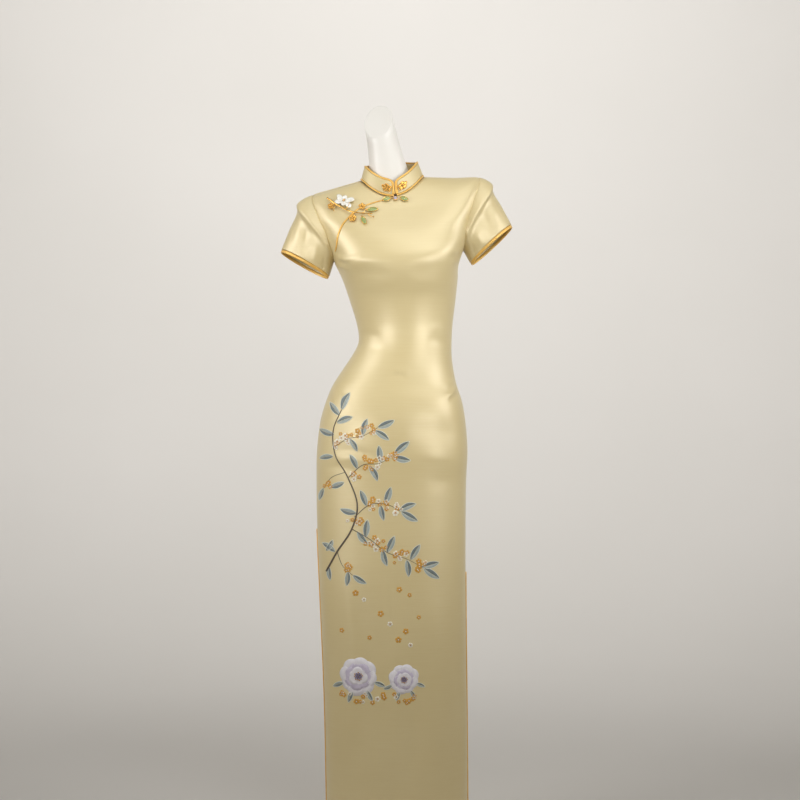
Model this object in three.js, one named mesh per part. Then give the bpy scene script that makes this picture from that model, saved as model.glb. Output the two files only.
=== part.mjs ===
// A floor-length silk cheongsam with short sleeves, standing on a limbless dress form.
// Millimetres, +Z up. The front faces -Y and the wearer's right side is -X.
// The origin is the centre of the underside of the stand's base plate.

import * as THREE from 'three';

// ---------------------------------------------------------------- driving sizes

const CLOTH = 1.5;            // wall of the silk panels and sleeves
const COLLAR_WALL = 2.2;      // stiffened collar
const SEAM = 0.4;             // space between two pieces that are sewn together
const HEM = 60;               // height of the hem above the surface
const ARMPIT = 1285;          // station of the bottom of both armholes
const SHOULDER_TIP = 1410;    // station of the top of both armholes
const NECKLINE = 1448;        // station of the neck seam
const ARMHOLE_NOTCH = 28;     // degrees that an armhole bites into a panel at its middle
const SLIT_RIGHT = 685;       // height of the top of the wearer's right slit
const SLIT_LEFT = 590;        // height of the top of the wearer's left slit
const HANG_APART = 2;         // how far front and back hang apart in the slits
const HANG_LENGTH = 150;      // height over which they come apart
const LAPEL_TUCK = 22;        // how far the underlap runs on beneath the front
const LAPEL_GAP = 1.6;        // space between the front and the underlap beneath it
const EDGE_BINDING = { width: 4, wall: 3 };
const LAPEL_OUT = 0.6;        // space under the lapel binding
const LAPEL_BINDING = { width: 5, wall: 1.4 };
const CUFF_BINDING = { width: 7, wall: 2.2 };
const COLLAR_BINDING = { width: 5, wall: 3 };
const PIPING_RADIUS = 2.2;

// Level sections of the skirt and bodice: the height, the centre, the half width, the
// depth in front of and behind the side seams, and how full the corners are.
const LEVEL_SECTIONS = [
  { z: 60, x: 1.5, half: 154.5, front: 70, back: 70, full: 0.02 },
  { z: 307, x: -2, half: 156, front: 76, back: 74, full: 0.02 },
  { z: 527, x: -7.7, half: 159.5, front: 84, back: 81, full: 0.03 },
  { z: 703, x: -11.5, half: 163.4, front: 92, back: 95, full: 0.03 },
  { z: 791, x: -11.5, half: 164.5, front: 98, back: 108, full: 0.03 },
  { z: 857, x: -9.5, half: 165.5, front: 106, back: 116, full: 0.03 },
  { z: 923, x: -8, half: 159, front: 110, back: 111, full: 0.02 },
  { z: 967, x: -5.5, half: 148.5, front: 105, back: 98, full: 0.02 },
  { z: 1000, x: -4, half: 136, front: 98, back: 86, full: 0.01 },
  { z: 1033, x: 3, half: 122, front: 93, back: 77, full: 0 },
  { z: 1066, x: 12, half: 109, front: 89, back: 71, full: 0 },
  { z: 1095, x: 18.7, half: 102.3, front: 87, back: 68, full: 0 },
  { z: 1132, x: 18, half: 105, front: 89, back: 69, full: 0 },
  { z: 1187, x: 13, half: 116.6, front: 100, back: 78, full: 0.01 },
  { z: 1231, x: 7.7, half: 126.5, front: 116, back: 86, full: 0.03 },
  { z: 1264, x: 1, half: 135.4, front: 123, back: 91, full: 0.05 },
];

// Sloping sections of the yoke. zFront, zBack, zRight and zLeft are the heights in front,
// behind and at the wearer's two sides, and y is where the shoulder seam runs.
const YOKE_SECTIONS = [
  { station: ARMPIT, zFront: 1287, zBack: 1290, zRight: 1273, zLeft: 1297,
    x: 4.5, half: 142.5, y: 3, front: 122, back: 88, full: 0.05 },
  { station: 1325, zFront: 1322, zBack: 1338, zRight: 1322, zLeft: 1351,
    x: -0.5, half: 166, y: 6, front: 109, back: 82, full: 0.03 },
  { station: 1367, zFront: 1352, zBack: 1385, zRight: 1373, zLeft: 1412,
    x: -2.5, half: 187, y: 8, front: 90, back: 75, full: 0.03 },
  { station: SHOULDER_TIP, zFront: 1380, zBack: 1425, zRight: 1417, zLeft: 1456,
    x: -2, half: 184, y: 8, front: 70, back: 64, full: 0.02 },
  { station: 1430, zFront: 1396, zBack: 1443, zRight: 1434, zLeft: 1456.5,
    x: -5, half: 130, y: 7, front: 60, back: 57, full: 0 },
  { station: NECKLINE, zFront: 1409, zBack: 1458, zRight: 1450, zLeft: 1458,
    x: -9.5, half: 69.5, y: 5, front: 50, back: 50, full: 0 },
];

// The opening edge of the front, as an angle from centre front at each station.
const LAPEL_EDGE = [
  { station: ARMPIT, angle: -89.5 },
  { station: 1291, angle: -71 },
  { station: 1300, angle: -58 },
  { station: 1325, angle: -46 },
  { station: 1367, angle: -31 },
  { station: SHOULDER_TIP, angle: -22 },
  { station: 1430, angle: -15 },
  { station: NECKLINE, angle: 4 },
];

// Stations of the panels' cross rows, below the armholes and above them.
const SKIRT_ROWS = [64.4, 180, 307, 420, 510, 640, 740, 791, 835, 880, 923, 950,
  975, 1005, 1035, 1066, 1095, 1132, 1163, 1193, 1220, 1244, 1264];
const NECK_ROWS = [1420, 1430, 1440, NECKLINE];
const LAPEL_ROWS = [1294, 1298, 1313];   // extra rows where the lapel's edge bends
const ARMHOLE_STEPS = 8;

// The sleeves. The cap stands out from the shoulder tip by capOut and drops by capDrop, and
// the cuff is an ellipse from its outer corner to its inner corner, given as x and z.
const SLEEVES = [
  { name: 'sleeve_right', side: -1, capOut: 30, capDrop: 17, outer: [-255, 1291], inner: [-151, 1234] },
  { name: 'sleeve_left', side: 1, capOut: 26, capDrop: 13, outer: [255, 1346], inner: [166, 1264] },
];
const CUFF_DEPTH = 35;        // half the cuff's depth from front to back
const CUFF_TILT = 4;          // how far the cuff's back edge hangs below its middle
const CAP_FORWARD = 9;        // how far the cap's ridge stands out before and behind
const CAP_TUCK = 5;           // how far the cloth turns back in under the ridge
const SLEEVE_TURNS = 24;

// The collar's top edge, as a sloping section, and its front corners.
const COLLAR_TOP = { zFront: 1450, zBack: 1499, zRight: 1484, zLeft: 1493,
  x: -12, half: 58, y: 8, front: 44, back: 46, full: 0 };
const COLLAR_OPENING = 6;     // degrees from centre front at which the two fronts meet
const COLLAR_CORNER = { along: 14, down: 12 };
const COLLAR_COLUMNS = 40;

// The limbless form: how far it stays inside the cloth, and its own shoulders and neck.
const FORM_INSET = 6;
const FORM_BOTTOM = 770;
const FORM_TURNS = 28;
const FORM_SHOULDERS = [
  { zFront: 1318, zBack: 1334, zRight: 1318, zLeft: 1343, x: -0.5, half: 141, y: 6, front: 97, back: 73 },
  { zFront: 1342, zBack: 1376, zRight: 1362, zLeft: 1398, x: -2.5, half: 156, y: 8, front: 78, back: 64 },
  { zFront: 1366, zBack: 1408, zRight: 1400, zLeft: 1435, x: -3, half: 152, y: 8, front: 58, back: 51 },
  { zFront: 1383, zBack: 1427, zRight: 1419, zLeft: 1444, x: -5, half: 122, y: 7, front: 47, back: 43 },
  { zFront: 1400, zBack: 1441, zRight: 1436, zLeft: 1447, x: -9, half: 66, y: 5, front: 39, back: 39 },
  { zFront: 1424, zBack: 1453, zRight: 1452, zLeft: 1456, x: -13, half: 47, y: 5, front: 34, back: 36 },
  { zFront: 1470, zBack: 1480, zRight: 1478, zLeft: 1478, x: -18, half: 42, y: 5, front: 34, back: 36 },
];
const NECK_TOP = { x: -40, z: 1580, half: 33, y: 5, depth: 33, lean: -0.24, riseLeft: 0.5, riseBack: 1.1 };

// The stand under the form.
const POLE_RADIUS = 14;
const BASE_RADIUS = 150;
const BASE_PLATE = 10;
const BOSS = { radius: 26, top: 42 };

// Metalwork of the two clasps. Places are x and z on the front of the dress.
const BLOSSOM = { radius: 10, out: 0.8, wall: 3, crown: 1, petals: 5 };
const CLASP_LEAF = { length: 20, width: 10, wall: 2.5, crown: 1 };
const COLLAR_BLOSSOMS = [
  { name: 'clasp_blossom_right', along: -14, up: 13 },
  { name: 'clasp_blossom_left', along: 14, up: 13 },
];
const COLLAR_LEAVES = [
  { name: 'clasp_leaf_right', x: -21, z: 1402, turn: 200 },
  { name: 'clasp_leaf_left', x: 16, z: 1402, turn: -20 },
];
const CLASP_OUT = 2.4;        // height of the collar clasp's leaves and stone above the cloth
const CLASP_STONE = { x: -3, z: 1403, radius: 4.5, wall: 4, crown: 2 };
const BROOCH_TWIG = [[-149, 1404], [-128, 1388], [-104, 1374], [-80, 1368], [-52, 1366]];
const BROOCH_BLOOM = { x: -113, z: 1397, length: 46, width: 24, turn: -18, wall: 5 };
const BROOCH_BLOSSOMS = [
  { name: 'brooch_blossom_outer', x: -141, z: 1386, radius: 7.5 },
  { name: 'brooch_blossom_middle', x: -94, z: 1357, radius: 9 },
  { name: 'brooch_blossom_inner', x: -74, z: 1384, radius: 8 },
];
const BROOCH_LEAVES = [
  { name: 'brooch_leaf_long', x: -52, z: 1377, length: 26, turn: 6 },
  { name: 'brooch_leaf_low', x: -70, z: 1352, length: 21, turn: -62 },
];
const BROOCH_LEAF_WIDTH = 10;
const BROOCH_CROWN = { bloom: 2, blossom: 1, leaf: 1 };   // how far each piece rises in its middle
const BROOCH_WALL = { blossom: 3, leaf: 2.5 };
const BROOCH_OUT = 2.2;       // height of the brooch's back above the cloth, over the lapel binding
const TWIG = { width: 5, wall: 2.5 };

// ---------------------------------------------------------------- materials

const finish = (color, roughness, metalness) => new THREE.MeshStandardMaterial({ color, roughness, metalness });
const FINISHES = {
  silk: finish(0xe6dab0, 0.45, 0),
  binding: finish(0xefc164, 0.4, 0),
  gold: finish(0xd9a84a, 0.3, 1),
  jade: finish(0x9aa35a, 0.35, 0),
  enamel: finish(0xf6f4ee, 0.25, 0),
  stone: finish(0xf0eef4, 0.05, 0),
  form: finish(0xf2f0ee, 0.3, 0),
  pole: finish(0xc8c8ca, 0.25, 1),
  base: finish(0xe9e7e3, 0.4, 0),
};

// ---------------------------------------------------------------- smooth tables

const radians = THREE.MathUtils.degToRad;

// Turns a level section into the same columns as a sloping one.
function levelSection({ z, x, half, front, back, full }) {
  return { station: z, zFront: z, zBack: z, zRight: z, zLeft: z, x, half, y: 0, front, back, full };
}

const SECTIONS = [...LEVEL_SECTIONS.map(levelSection), ...YOKE_SECTIONS];

// The slope of a column at row i, from the rows on both sides of it.
function slopeAt(rows, column, i) {
  const before = rows[Math.max(i - 1, 0)];
  const after = rows[Math.min(i + 1, rows.length - 1)];
  return (after[column] - before[column]) / (after.station - before.station);
}

// A smooth curve through one column of a table, read at any station.
function follow(rows, column, station) {
  const last = rows.length - 1;
  const at = THREE.MathUtils.clamp(station, rows[0].station, rows[last].station);
  let i = 0;
  while (i < last - 1 && rows[i + 1].station < at) {
    i += 1;
  }
  const span = rows[i + 1].station - rows[i].station;
  const t = (at - rows[i].station) / span;
  const start = rows[i][column];
  const end = rows[i + 1][column];
  const startSlope = slopeAt(rows, column, i) * span;
  const endSlope = slopeAt(rows, column, i + 1) * span;
  const curve = 2 * start - 2 * end + startSlope + endSlope;
  const bend = -3 * start + 3 * end - 2 * startSlope - endSlope;
  return ((curve * t + bend) * t + startSlope) * t + start;
}

// A point of one section, at an angle from centre front that grows towards the wearer's left.
function sectionPoint(section, turn) {
  const { x, half, y, front, back, zFront, zBack, zRight, zLeft, full = 0 } = section;
  const sine = Math.sin(turn);
  const cosine = Math.cos(turn);
  const depth = cosine > 0 ? front : back;
  const middle = cosine > 0 ? zFront : zBack;
  const side = sine < 0 ? zRight : zLeft;
  return new THREE.Vector3(
    x + half * (sine + full * Math.sin(3 * turn)) / (1 - full),
    y - depth * (cosine - full * Math.cos(3 * turn)) / (1 - full),
    middle * cosine * cosine + side * sine * sine,
  );
}

const COLUMNS = ['x', 'half', 'y', 'front', 'back', 'zFront', 'zBack', 'zRight', 'zLeft', 'full'];

// The section of the dress at any station.
function sectionAt(station) {
  return Object.fromEntries(COLUMNS.map((column) => [column, follow(SECTIONS, column, station)]));
}

// ---------------------------------------------------------------- the dress surface

// Below the slit tops the front hangs a little forward and the back a little behind.
function hangAt(turn, station) {
  const slit = Math.sin(turn) < 0 ? SLIT_RIGHT : SLIT_LEFT;
  const apart = THREE.MathUtils.smoothstep(slit - station, 0, HANG_LENGTH);
  return Math.cos(turn) > 0 ? -HANG_APART * apart : HANG_APART * apart;
}

function dressPoint(turn, station) {
  const point = sectionPoint(sectionAt(station), turn);
  point.y += hangAt(turn, station);
  return point;
}

// The point and the outward direction of any surface given by two parameters.
function spotOn(surface, u, v, stepU, stepV) {
  const along = surface(u + stepU, v).sub(surface(u - stepU, v));
  const up = surface(u, v + stepV).sub(surface(u, v - stepV));
  return { point: surface(u, v), outward: along.cross(up).normalize() };
}

// A point of the dress, moved out from the surface.
function dressOut(turn, station, out) {
  const inside = THREE.MathUtils.clamp(station, HEM + 0.5, NECKLINE - 0.5);
  const { point, outward } = spotOn(dressPoint, turn, inside, 0.01, 0.5);
  return point.copy(dressPoint(turn, station)).addScaledVector(outward, out);
}

// How far up the armhole a station is, from -1 at the armpit to 1 at the shoulder tip.
function armholeRise(station) {
  return 2 * (station - ARMPIT) / (SHOULDER_TIP - ARMPIT) - 1;
}

// The angle that the armhole takes from a panel's side at a station.
function armholeBite(station) {
  const rise = armholeRise(station);
  return Math.abs(rise) < 1 ? radians(ARMHOLE_NOTCH) * Math.sqrt(1 - rise * rise) : 0;
}

// The strip that a panel gives up to the edge binding below its slit.
function bindingInset(station, slit) {
  return station < slit ? EDGE_BINDING.width + SEAM : 0;
}

// The angle of a panel's side edge, on the wearer's right (-1) or left (1).
function sideEdge(station, side, depthColumn) {
  const depth = follow(SECTIONS, depthColumn, station);
  const slit = side < 0 ? SLIT_RIGHT : SLIT_LEFT;
  const trim = (SEAM / 2 + bindingInset(station, slit)) / depth;
  return Math.PI / 2 - armholeBite(station) - trim;
}

function lapelEdge(station) {
  return radians(follow(LAPEL_EDGE, 'angle', station));
}

const frontRightEdge = (station) => (station <= ARMPIT ? -sideEdge(station, -1, 'front') : lapelEdge(station));
const frontLeftEdge = (station) => sideEdge(station, 1, 'front');
const backLeftEdge = (station) => Math.PI - sideEdge(station, 1, 'back');
const backRightEdge = (station) => Math.PI + sideEdge(station, -1, 'back');
const underlapRightEdge = (station) => -sideEdge(station, -1, 'front');
const underlapLeftEdge = (station) => lapelEdge(station) + LAPEL_TUCK / follow(SECTIONS, 'half', station);

// ---------------------------------------------------------------- closed solids

// A mesh geometry from points and triangles, turned inside out if its faces point in.
function solid(points, triangles) {
  let volume = 0;
  for (const [a, b, c] of triangles) {
    volume += points[a].dot(points[b].clone().cross(points[c]));
  }
  const index = triangles.flatMap(([a, b, c]) => (volume < 0 ? [a, c, b] : [a, b, c]));
  const geometry = new THREE.BufferGeometry().setFromPoints(points);
  geometry.setIndex(index);
  geometry.computeVertexNormals();
  return geometry;
}

// The two triangles of a quad.
const quad = (a, b, c, d) => [[a, b, c], [a, c, d]];

// A wall between an outer and an inner sheet, each a list of rows of points.
// A round wall closes on itself along its rows.
function wall(outer, inner, round = false) {
  const rows = outer.length;
  const columns = outer[0].length;
  const points = [...outer.flat(), ...inner.flat()];
  const at = (sheet, row, column) => (sheet * rows + row) * columns + (column % columns);
  const triangles = [];
  const spans = round ? columns : columns - 1;
  for (let column = 0; column < spans; column += 1) {
    for (let row = 0; row < rows - 1; row += 1) {
      triangles.push(...quad(at(0, row, column), at(0, row, column + 1),
        at(0, row + 1, column + 1), at(0, row + 1, column)));
      triangles.push(...quad(at(1, row, column), at(1, row + 1, column),
        at(1, row + 1, column + 1), at(1, row, column + 1)));
    }
    for (const [row, turned] of [[0, false], [rows - 1, true]]) {
      const [left, right] = turned ? [column + 1, column] : [column, column + 1];
      triangles.push(...quad(at(0, row, left), at(1, row, left), at(1, row, right), at(0, row, right)));
    }
  }
  for (let row = 0; row < rows - 1 && !round; row += 1) {
    for (const [column, low, high] of [[0, row + 1, row], [columns - 1, row, row + 1]]) {
      triangles.push(...quad(at(0, low, column), at(1, low, column), at(1, high, column), at(0, high, column)));
    }
  }
  return solid(points, triangles);
}

// A solid through closed rings of points, with a flat fan over each end.
function loft(rings) {
  const turns = rings[0].length;
  const points = rings.flat();
  const triangles = [];
  for (let ring = 0; ring < rings.length - 1; ring += 1) {
    for (let turn = 0; turn < turns; turn += 1) {
      const next = (turn + 1) % turns;
      triangles.push(...quad(ring * turns + turn, ring * turns + next,
        (ring + 1) * turns + next, (ring + 1) * turns + turn));
    }
  }
  for (const [ring, turned] of [[0, false], [rings.length - 1, true]]) {
    const centre = rings[ring].reduce((sum, point) => sum.add(point), new THREE.Vector3());
    points.push(centre.divideScalar(turns));
    const hub = points.length - 1;
    for (let turn = 0; turn < turns; turn += 1) {
      const edge = [ring * turns + turn, ring * turns + ((turn + 1) % turns)];
      triangles.push(turned ? [hub, ...edge] : [hub, ...edge.reverse()]);
    }
  }
  return solid(points, triangles);
}

// Evenly spaced values from start to end.
function steps(start, end, count) {
  return Array.from({ length: count + 1 }, (_, i) => start + (end - start) * i / count);
}

// ---------------------------------------------------------------- panels

const ARMHOLE_ROWS = steps(Math.PI, 0, ARMHOLE_STEPS).map((turn) => (
  ARMPIT + (SHOULDER_TIP - ARMPIT) * (Math.cos(turn) + 1) / 2
));

// A cloth wall on the dress, between two side edges, from an outer to an inner height.
function panel(rows, fromEdge, toEdge, columns, out) {
  const sheet = (height) => rows.map((station) => (
    steps(fromEdge(station), toEdge(station), columns).map((turn) => dressOut(turn, station, height))
  ));
  return wall(sheet(out), sheet(out - CLOTH));
}

// Two rows close together at each slit top, where the side edge steps in for the binding.
function withSlitRows(rows) {
  const tops = [SLIT_RIGHT, SLIT_LEFT].flatMap((slit) => [slit - 0.5, slit]);
  return [...rows, ...tops].sort((a, b) => a - b);
}

const YOKE_ROWS = [...ARMHOLE_ROWS, ...LAPEL_ROWS, ...NECK_ROWS].sort((a, b) => a - b);
const FRONT_ROWS = [...withSlitRows(SKIRT_ROWS), ...YOKE_ROWS];
const BACK_ROWS = [...withSlitRows(SKIRT_ROWS), ...ARMHOLE_ROWS, ...NECK_ROWS];

const frontPanel = panel(FRONT_ROWS, frontRightEdge, frontLeftEdge, 16, 0);
const backPanel = panel(BACK_ROWS, backLeftEdge, backRightEdge, 14, 0);
const underlap = panel(YOKE_ROWS.slice(1), underlapRightEdge, underlapLeftEdge, 10, -(CLOTH + LAPEL_GAP));

// ---------------------------------------------------------------- bindings of the edges

// A folded strip round the slit, the hem and the other slit of one panel, as two lists of
// angle and station: its outer edge and its inner edge.
function edgeStrip(depthColumn, back) {
  const turnAt = (station, side, inset) => {
    const depth = follow(SECTIONS, depthColumn, station);
    const turn = side * (Math.PI / 2 - (SEAM / 2 + inset) / depth);
    return back ? Math.PI - turn : turn;
  };
  const edge = (inset) => {
    const low = HEM + inset;
    const right = steps(SLIT_RIGHT - 1, low, 12).map((station) => [turnAt(station, -1, inset), station]);
    const left = steps(low, SLIT_LEFT - 1, 10).map((station) => [turnAt(station, 1, inset), station]);
    const [from] = right[right.length - 1];
    const [to] = left[0];
    const hem = steps(from, to, 16).slice(1, -1).map((turn) => [turn, low]);
    return [...right, ...hem, ...left];
  };
  return [edge(0), edge(EDGE_BINDING.width)];
}

// The strip's wall straddles the cloth's wall.
function edgeBinding(depthColumn, back) {
  const sheet = (height) => edgeStrip(depthColumn, back).map((edge) => (
    edge.map(([turn, station]) => dressOut(turn, station, height))
  ));
  const proud = (EDGE_BINDING.wall - CLOTH) / 2;
  return wall(sheet(proud), sheet(-CLOTH - proud));
}

// The lapel binding lies on the front, along its opening edge.
function lapelBinding() {
  const rows = [1298, 1305, 1313, 1325, 1339, 1353, 1367, 1381, 1396, 1410, 1420, 1430, 1437, 1444];
  const sheet = (height) => rows.map((station) => {
    const reach = LAPEL_BINDING.width / follow(SECTIONS, 'half', station);
    return [0, reach].map((turn) => dressOut(lapelEdge(station) + turn, station, height));
  });
  return wall(sheet(LAPEL_OUT + LAPEL_BINDING.wall), sheet(LAPEL_OUT));
}

// ---------------------------------------------------------------- sleeves

// The armhole seam, once round from the shoulder tip down the front and up the back.
function armholePoint(side, turn) {
  const station = ARMPIT + (SHOULDER_TIP - ARMPIT) * (Math.cos(turn) + 1) / 2;
  const bite = radians(ARMHOLE_NOTCH) * Math.sin(turn);
  const point = dressPoint(side * (Math.PI / 2 - bite), station);
  point.x += side * (SEAM + 0.2);
  return point;
}

// The cap's ridge, which stands out from the seam at the top and dies out at the armpit.
function ridgePoint(sleeve, turn) {
  const high = Math.cos(turn / 2) ** 2;
  const point = armholePoint(sleeve.side, turn);
  point.x += sleeve.side * (1 + sleeve.capOut * high ** 1.25);
  point.y -= CAP_FORWARD * Math.sin(turn) * high;
  point.z -= 1 + sleeve.capDrop * high ** 2;
  return point;
}

// The cuff's edge, an ellipse whose back hangs a little lower than its front.
function cuffPoint(sleeve, turn) {
  const { side, outer, inner } = sleeve;
  const reach = new THREE.Vector3(outer[0] - inner[0], 0, outer[1] - inner[1]).divideScalar(2);
  const centre = new THREE.Vector3((outer[0] + inner[0]) / 2, 4, (outer[1] + inner[1]) / 2);
  const down = new THREE.Vector3(side * Math.abs(reach.z), 0, -Math.abs(reach.x)).normalize();
  return centre
    .addScaledVector(reach, Math.cos(turn))
    .addScaledVector(down, -CUFF_TILT * Math.sin(turn))
    .add(new THREE.Vector3(0, -CUFF_DEPTH * Math.sin(turn), 0));
}

// Just under the ridge the cloth turns back in before it falls to the cuff.
function underRidgePoint(sleeve, turn) {
  const high = Math.cos(turn / 2) ** 2;
  const point = ridgePoint(sleeve, turn).lerp(cuffPoint(sleeve, turn), 0.14);
  point.x -= sleeve.side * CAP_TUCK * high;
  point.y += CAP_TUCK * Math.sin(turn) * high;
  return point;
}

// The way the cloth runs towards the cuff, at one place round it.
function cuffRun(sleeve, turn) {
  return cuffPoint(sleeve, turn).sub(underRidgePoint(sleeve, turn)).normalize();
}

function beforeCuff(sleeve, turn, back) {
  return cuffPoint(sleeve, turn).addScaledVector(cuffRun(sleeve, turn), -back);
}

// A point of the sleeve: row 0 is the seam, 2 the ridge, 3 under it, and 7 the end of the silk.
function sleevePoint(sleeve, turn, row) {
  if (row <= 2) {
    const shelf = armholePoint(sleeve.side, turn).lerp(ridgePoint(sleeve, turn), row / 2);
    shelf.z += 2.5 * Math.sin(Math.PI * row / 2) * Math.cos(turn / 2) ** 2;
    return shelf;
  }
  if (row <= 3) {
    return ridgePoint(sleeve, turn).lerp(underRidgePoint(sleeve, turn), row - 2);
  }
  const end = beforeCuff(sleeve, turn, CUFF_BINDING.width + SEAM);
  return underRidgePoint(sleeve, turn).lerp(end, (row - 3) / 4);
}

const SLEEVE_ROWS = steps(0, 7, 7);
const SLEEVE_ANGLES = steps(0, 2 * Math.PI, SLEEVE_TURNS).slice(0, -1);

// The inner sheet of a round wall: every point moved in by the wall, towards the ring's middle.
function insideOf(surface, wallThickness, rows) {
  return rows.map((row) => SLEEVE_ANGLES.map((turn) => {
    const { point, outward } = spotOn(surface, turn, row, 0.02, 0.02);
    const middle = SLEEVE_ANGLES.reduce(
      (sum, angle) => sum.add(surface(angle, row)), new THREE.Vector3()).divideScalar(SLEEVE_TURNS);
    const inward = middle.sub(point).dot(outward) > 0 ? 1 : -1;
    return point.addScaledVector(outward, inward * wallThickness);
  }));
}

function sleeveWall(sleeve) {
  const surface = (turn, row) => sleevePoint(sleeve, turn, THREE.MathUtils.clamp(row, 0, 7));
  const outer = SLEEVE_ROWS.map((row) => SLEEVE_ANGLES.map((turn) => surface(turn, row)));
  return wall(outer, insideOf(surface, CLOTH, SLEEVE_ROWS), true);
}

function cuffBinding(sleeve) {
  const { width, wall: thickness } = CUFF_BINDING;
  const surface = (turn, row) => beforeCuff(sleeve, turn, width * (1 - row));
  const proud = (thickness - CLOTH) / 2;
  return wall(insideOf(surface, -proud, [0, 1]), insideOf(surface, CLOTH + proud, [0, 1]), true);
}

// ---------------------------------------------------------------- collar

// The neck seam, and the way the collar stands up from it.
function collarRise(turn) {
  const foot = dressPoint(turn, NECKLINE);
  const top = sectionPoint(COLLAR_TOP, turn);
  const height = top.distanceTo(foot);
  return { foot, height, up: top.sub(foot).divideScalar(height) };
}

const PIPING_UP = PIPING_RADIUS + 0.6;
const COLLAR_FOOT = PIPING_UP + PIPING_RADIUS + SEAM;

// A point of the collar, at an angle round the neck and a height above the neck seam.
function collarPoint(turn, height) {
  const { foot, up } = collarRise(turn);
  return foot.addScaledVector(up, height);
}

function collarOut(turn, height, out) {
  const { point, outward } = spotOn(collarPoint, turn, height, 0.02, 0.5);
  return point.addScaledVector(outward, out);
}

const OPENING = radians(COLLAR_OPENING);
const FRONT_RADIUS = 52;      // radius of the collar's front, which turns millimetres into angle

// The angle at a distance round from the opening, and back the other way for the right side.
const leftOf = (along) => OPENING + along / FRONT_RADIUS;
const rightOf = (along) => OPENING + 2 * Math.PI - along / FRONT_RADIUS;

// One front corner of the collar, from its foot up and round to its top edge, inset all along.
function frontCorner(inset) {
  const { along, down } = COLLAR_CORNER;
  const { height } = collarRise(leftOf(along));
  const edge = SEAM + inset;
  const upright = steps(COLLAR_FOOT, height - down, 4).slice(0, -1).map((up) => ({ along: edge, up }));
  const round = steps(0, Math.PI / 2, 6).map((turn) => ({
    along: edge + (along - inset) * (1 - Math.cos(turn)),
    up: height - down + (down - inset) * Math.sin(turn),
  }));
  return [...upright, ...round];
}

// The whole edge of the collar from the left front round the neck to the right front.
function collarEdge(inset) {
  const corner = frontCorner(inset);
  const last = corner[corner.length - 1].along;
  const left = corner.map(({ along, up }) => [leftOf(along), up]);
  const right = corner.map(({ along, up }) => [rightOf(along), up]).reverse();
  const top = steps(leftOf(last), rightOf(last), COLLAR_COLUMNS).slice(1, -1)
    .map((turn) => [turn, collarRise(turn).height - inset]);
  return [...left, ...top, ...right];
}

// The collar's height at an angle, under its binding.
function collarHeight(turn) {
  const inset = COLLAR_BINDING.width + SEAM;
  const fromOpening = Math.min(turn - OPENING, OPENING + 2 * Math.PI - turn) * FRONT_RADIUS - SEAM - inset;
  const { along, down } = COLLAR_CORNER;
  const full = collarRise(turn).height - inset;
  const reach = along - inset;
  const into = THREE.MathUtils.clamp(1 - fromOpening / reach, 0, 1);
  return full - (down - inset) * (1 - Math.sqrt(1 - into * into));
}

function collarWall() {
  const start = SEAM + COLLAR_BINDING.width + SEAM;
  const turns = [
    ...steps(leftOf(start), leftOf(start + 9), 4).slice(0, -1),
    ...steps(leftOf(start + 9), rightOf(start + 9), COLLAR_COLUMNS - 8),
    ...steps(rightOf(start + 9), rightOf(start), 4).slice(1),
  ];
  const sheet = (out) => [0, 0.5, 1].map((share) => turns.map((turn) => (
    collarOut(turn, COLLAR_FOOT + (collarHeight(turn) - COLLAR_FOOT) * share, out)
  )));
  return wall(sheet(0), sheet(-COLLAR_WALL));
}

function collarTopBinding() {
  const sheet = (out) => [0, COLLAR_BINDING.width].map((inset) => (
    collarEdge(inset).map(([turn, up]) => collarOut(turn, up, out))
  ));
  const proud = (COLLAR_BINDING.wall - COLLAR_WALL) / 2;
  return wall(sheet(proud), sheet(-COLLAR_WALL - proud));
}

// Round piping along the neck seam, from one side of the opening to the other.
function neckPiping() {
  const turns = steps(leftOf(2.5), rightOf(2.5), COLLAR_COLUMNS);
  return loft(turns.map((turn) => {
    const { point, outward } = spotOn(collarPoint, turn, PIPING_UP, 0.02, 0.5);
    const { up } = collarRise(turn);
    const middle = point.addScaledVector(outward, -CLOTH / 2);
    return steps(0, 2 * Math.PI, 8).slice(0, -1).map((angle) => middle.clone()
      .addScaledVector(outward, PIPING_RADIUS * Math.cos(angle))
      .addScaledVector(up, PIPING_RADIUS * Math.sin(angle)));
  }));
}

// ---------------------------------------------------------------- clasps

// The angle and station on the front of the dress that has a given x and z.
function findOnFront(x, z) {
  let turn = Math.asin(THREE.MathUtils.clamp(x / 190, -0.9, 0.9));
  let station = z;
  for (let round = 0; round < 40; round += 1) {
    const here = dressPoint(turn, station);
    const along = dressPoint(turn + 0.01, station);
    const up = dressPoint(turn, station + 1);
    turn += 0.7 * (x - here.x) / ((along.x - here.x) / 0.01);
    station += 0.7 * (z - here.z) / (up.z - here.z);
    station = Math.min(station, NECKLINE - 1);
  }
  return [turn, station];
}

function frontSpot(x, z, out) {
  const [turn, station] = findOnFront(x, z);
  return dressOut(turn, station, out);
}

// A place on the collar, in millimetres along from its opening and up from the neck seam.
function collarSpot(along, up, out) {
  return collarOut(OPENING + along / FRONT_RADIUS, up, out);
}

// A small plate that follows the surface below it, from an outline round its own centre.
function plate(spot, outline, low, high, crown) {
  const ring = (out, share) => outline.map(([x, y]) => spot(x * share, y * share, out));
  return loft([ring(low, 1), ring(high, 1), ring(high + crown, 0.45)]);
}

// A surface seen from a place on it, turned by some degrees.
function placed(spot, { x, y, turn = 0 }) {
  const cosine = Math.cos(radians(turn));
  const sine = Math.sin(radians(turn));
  return (a, b, out) => spot(x + a * cosine - b * sine, y + a * sine + b * cosine, out);
}

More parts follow.
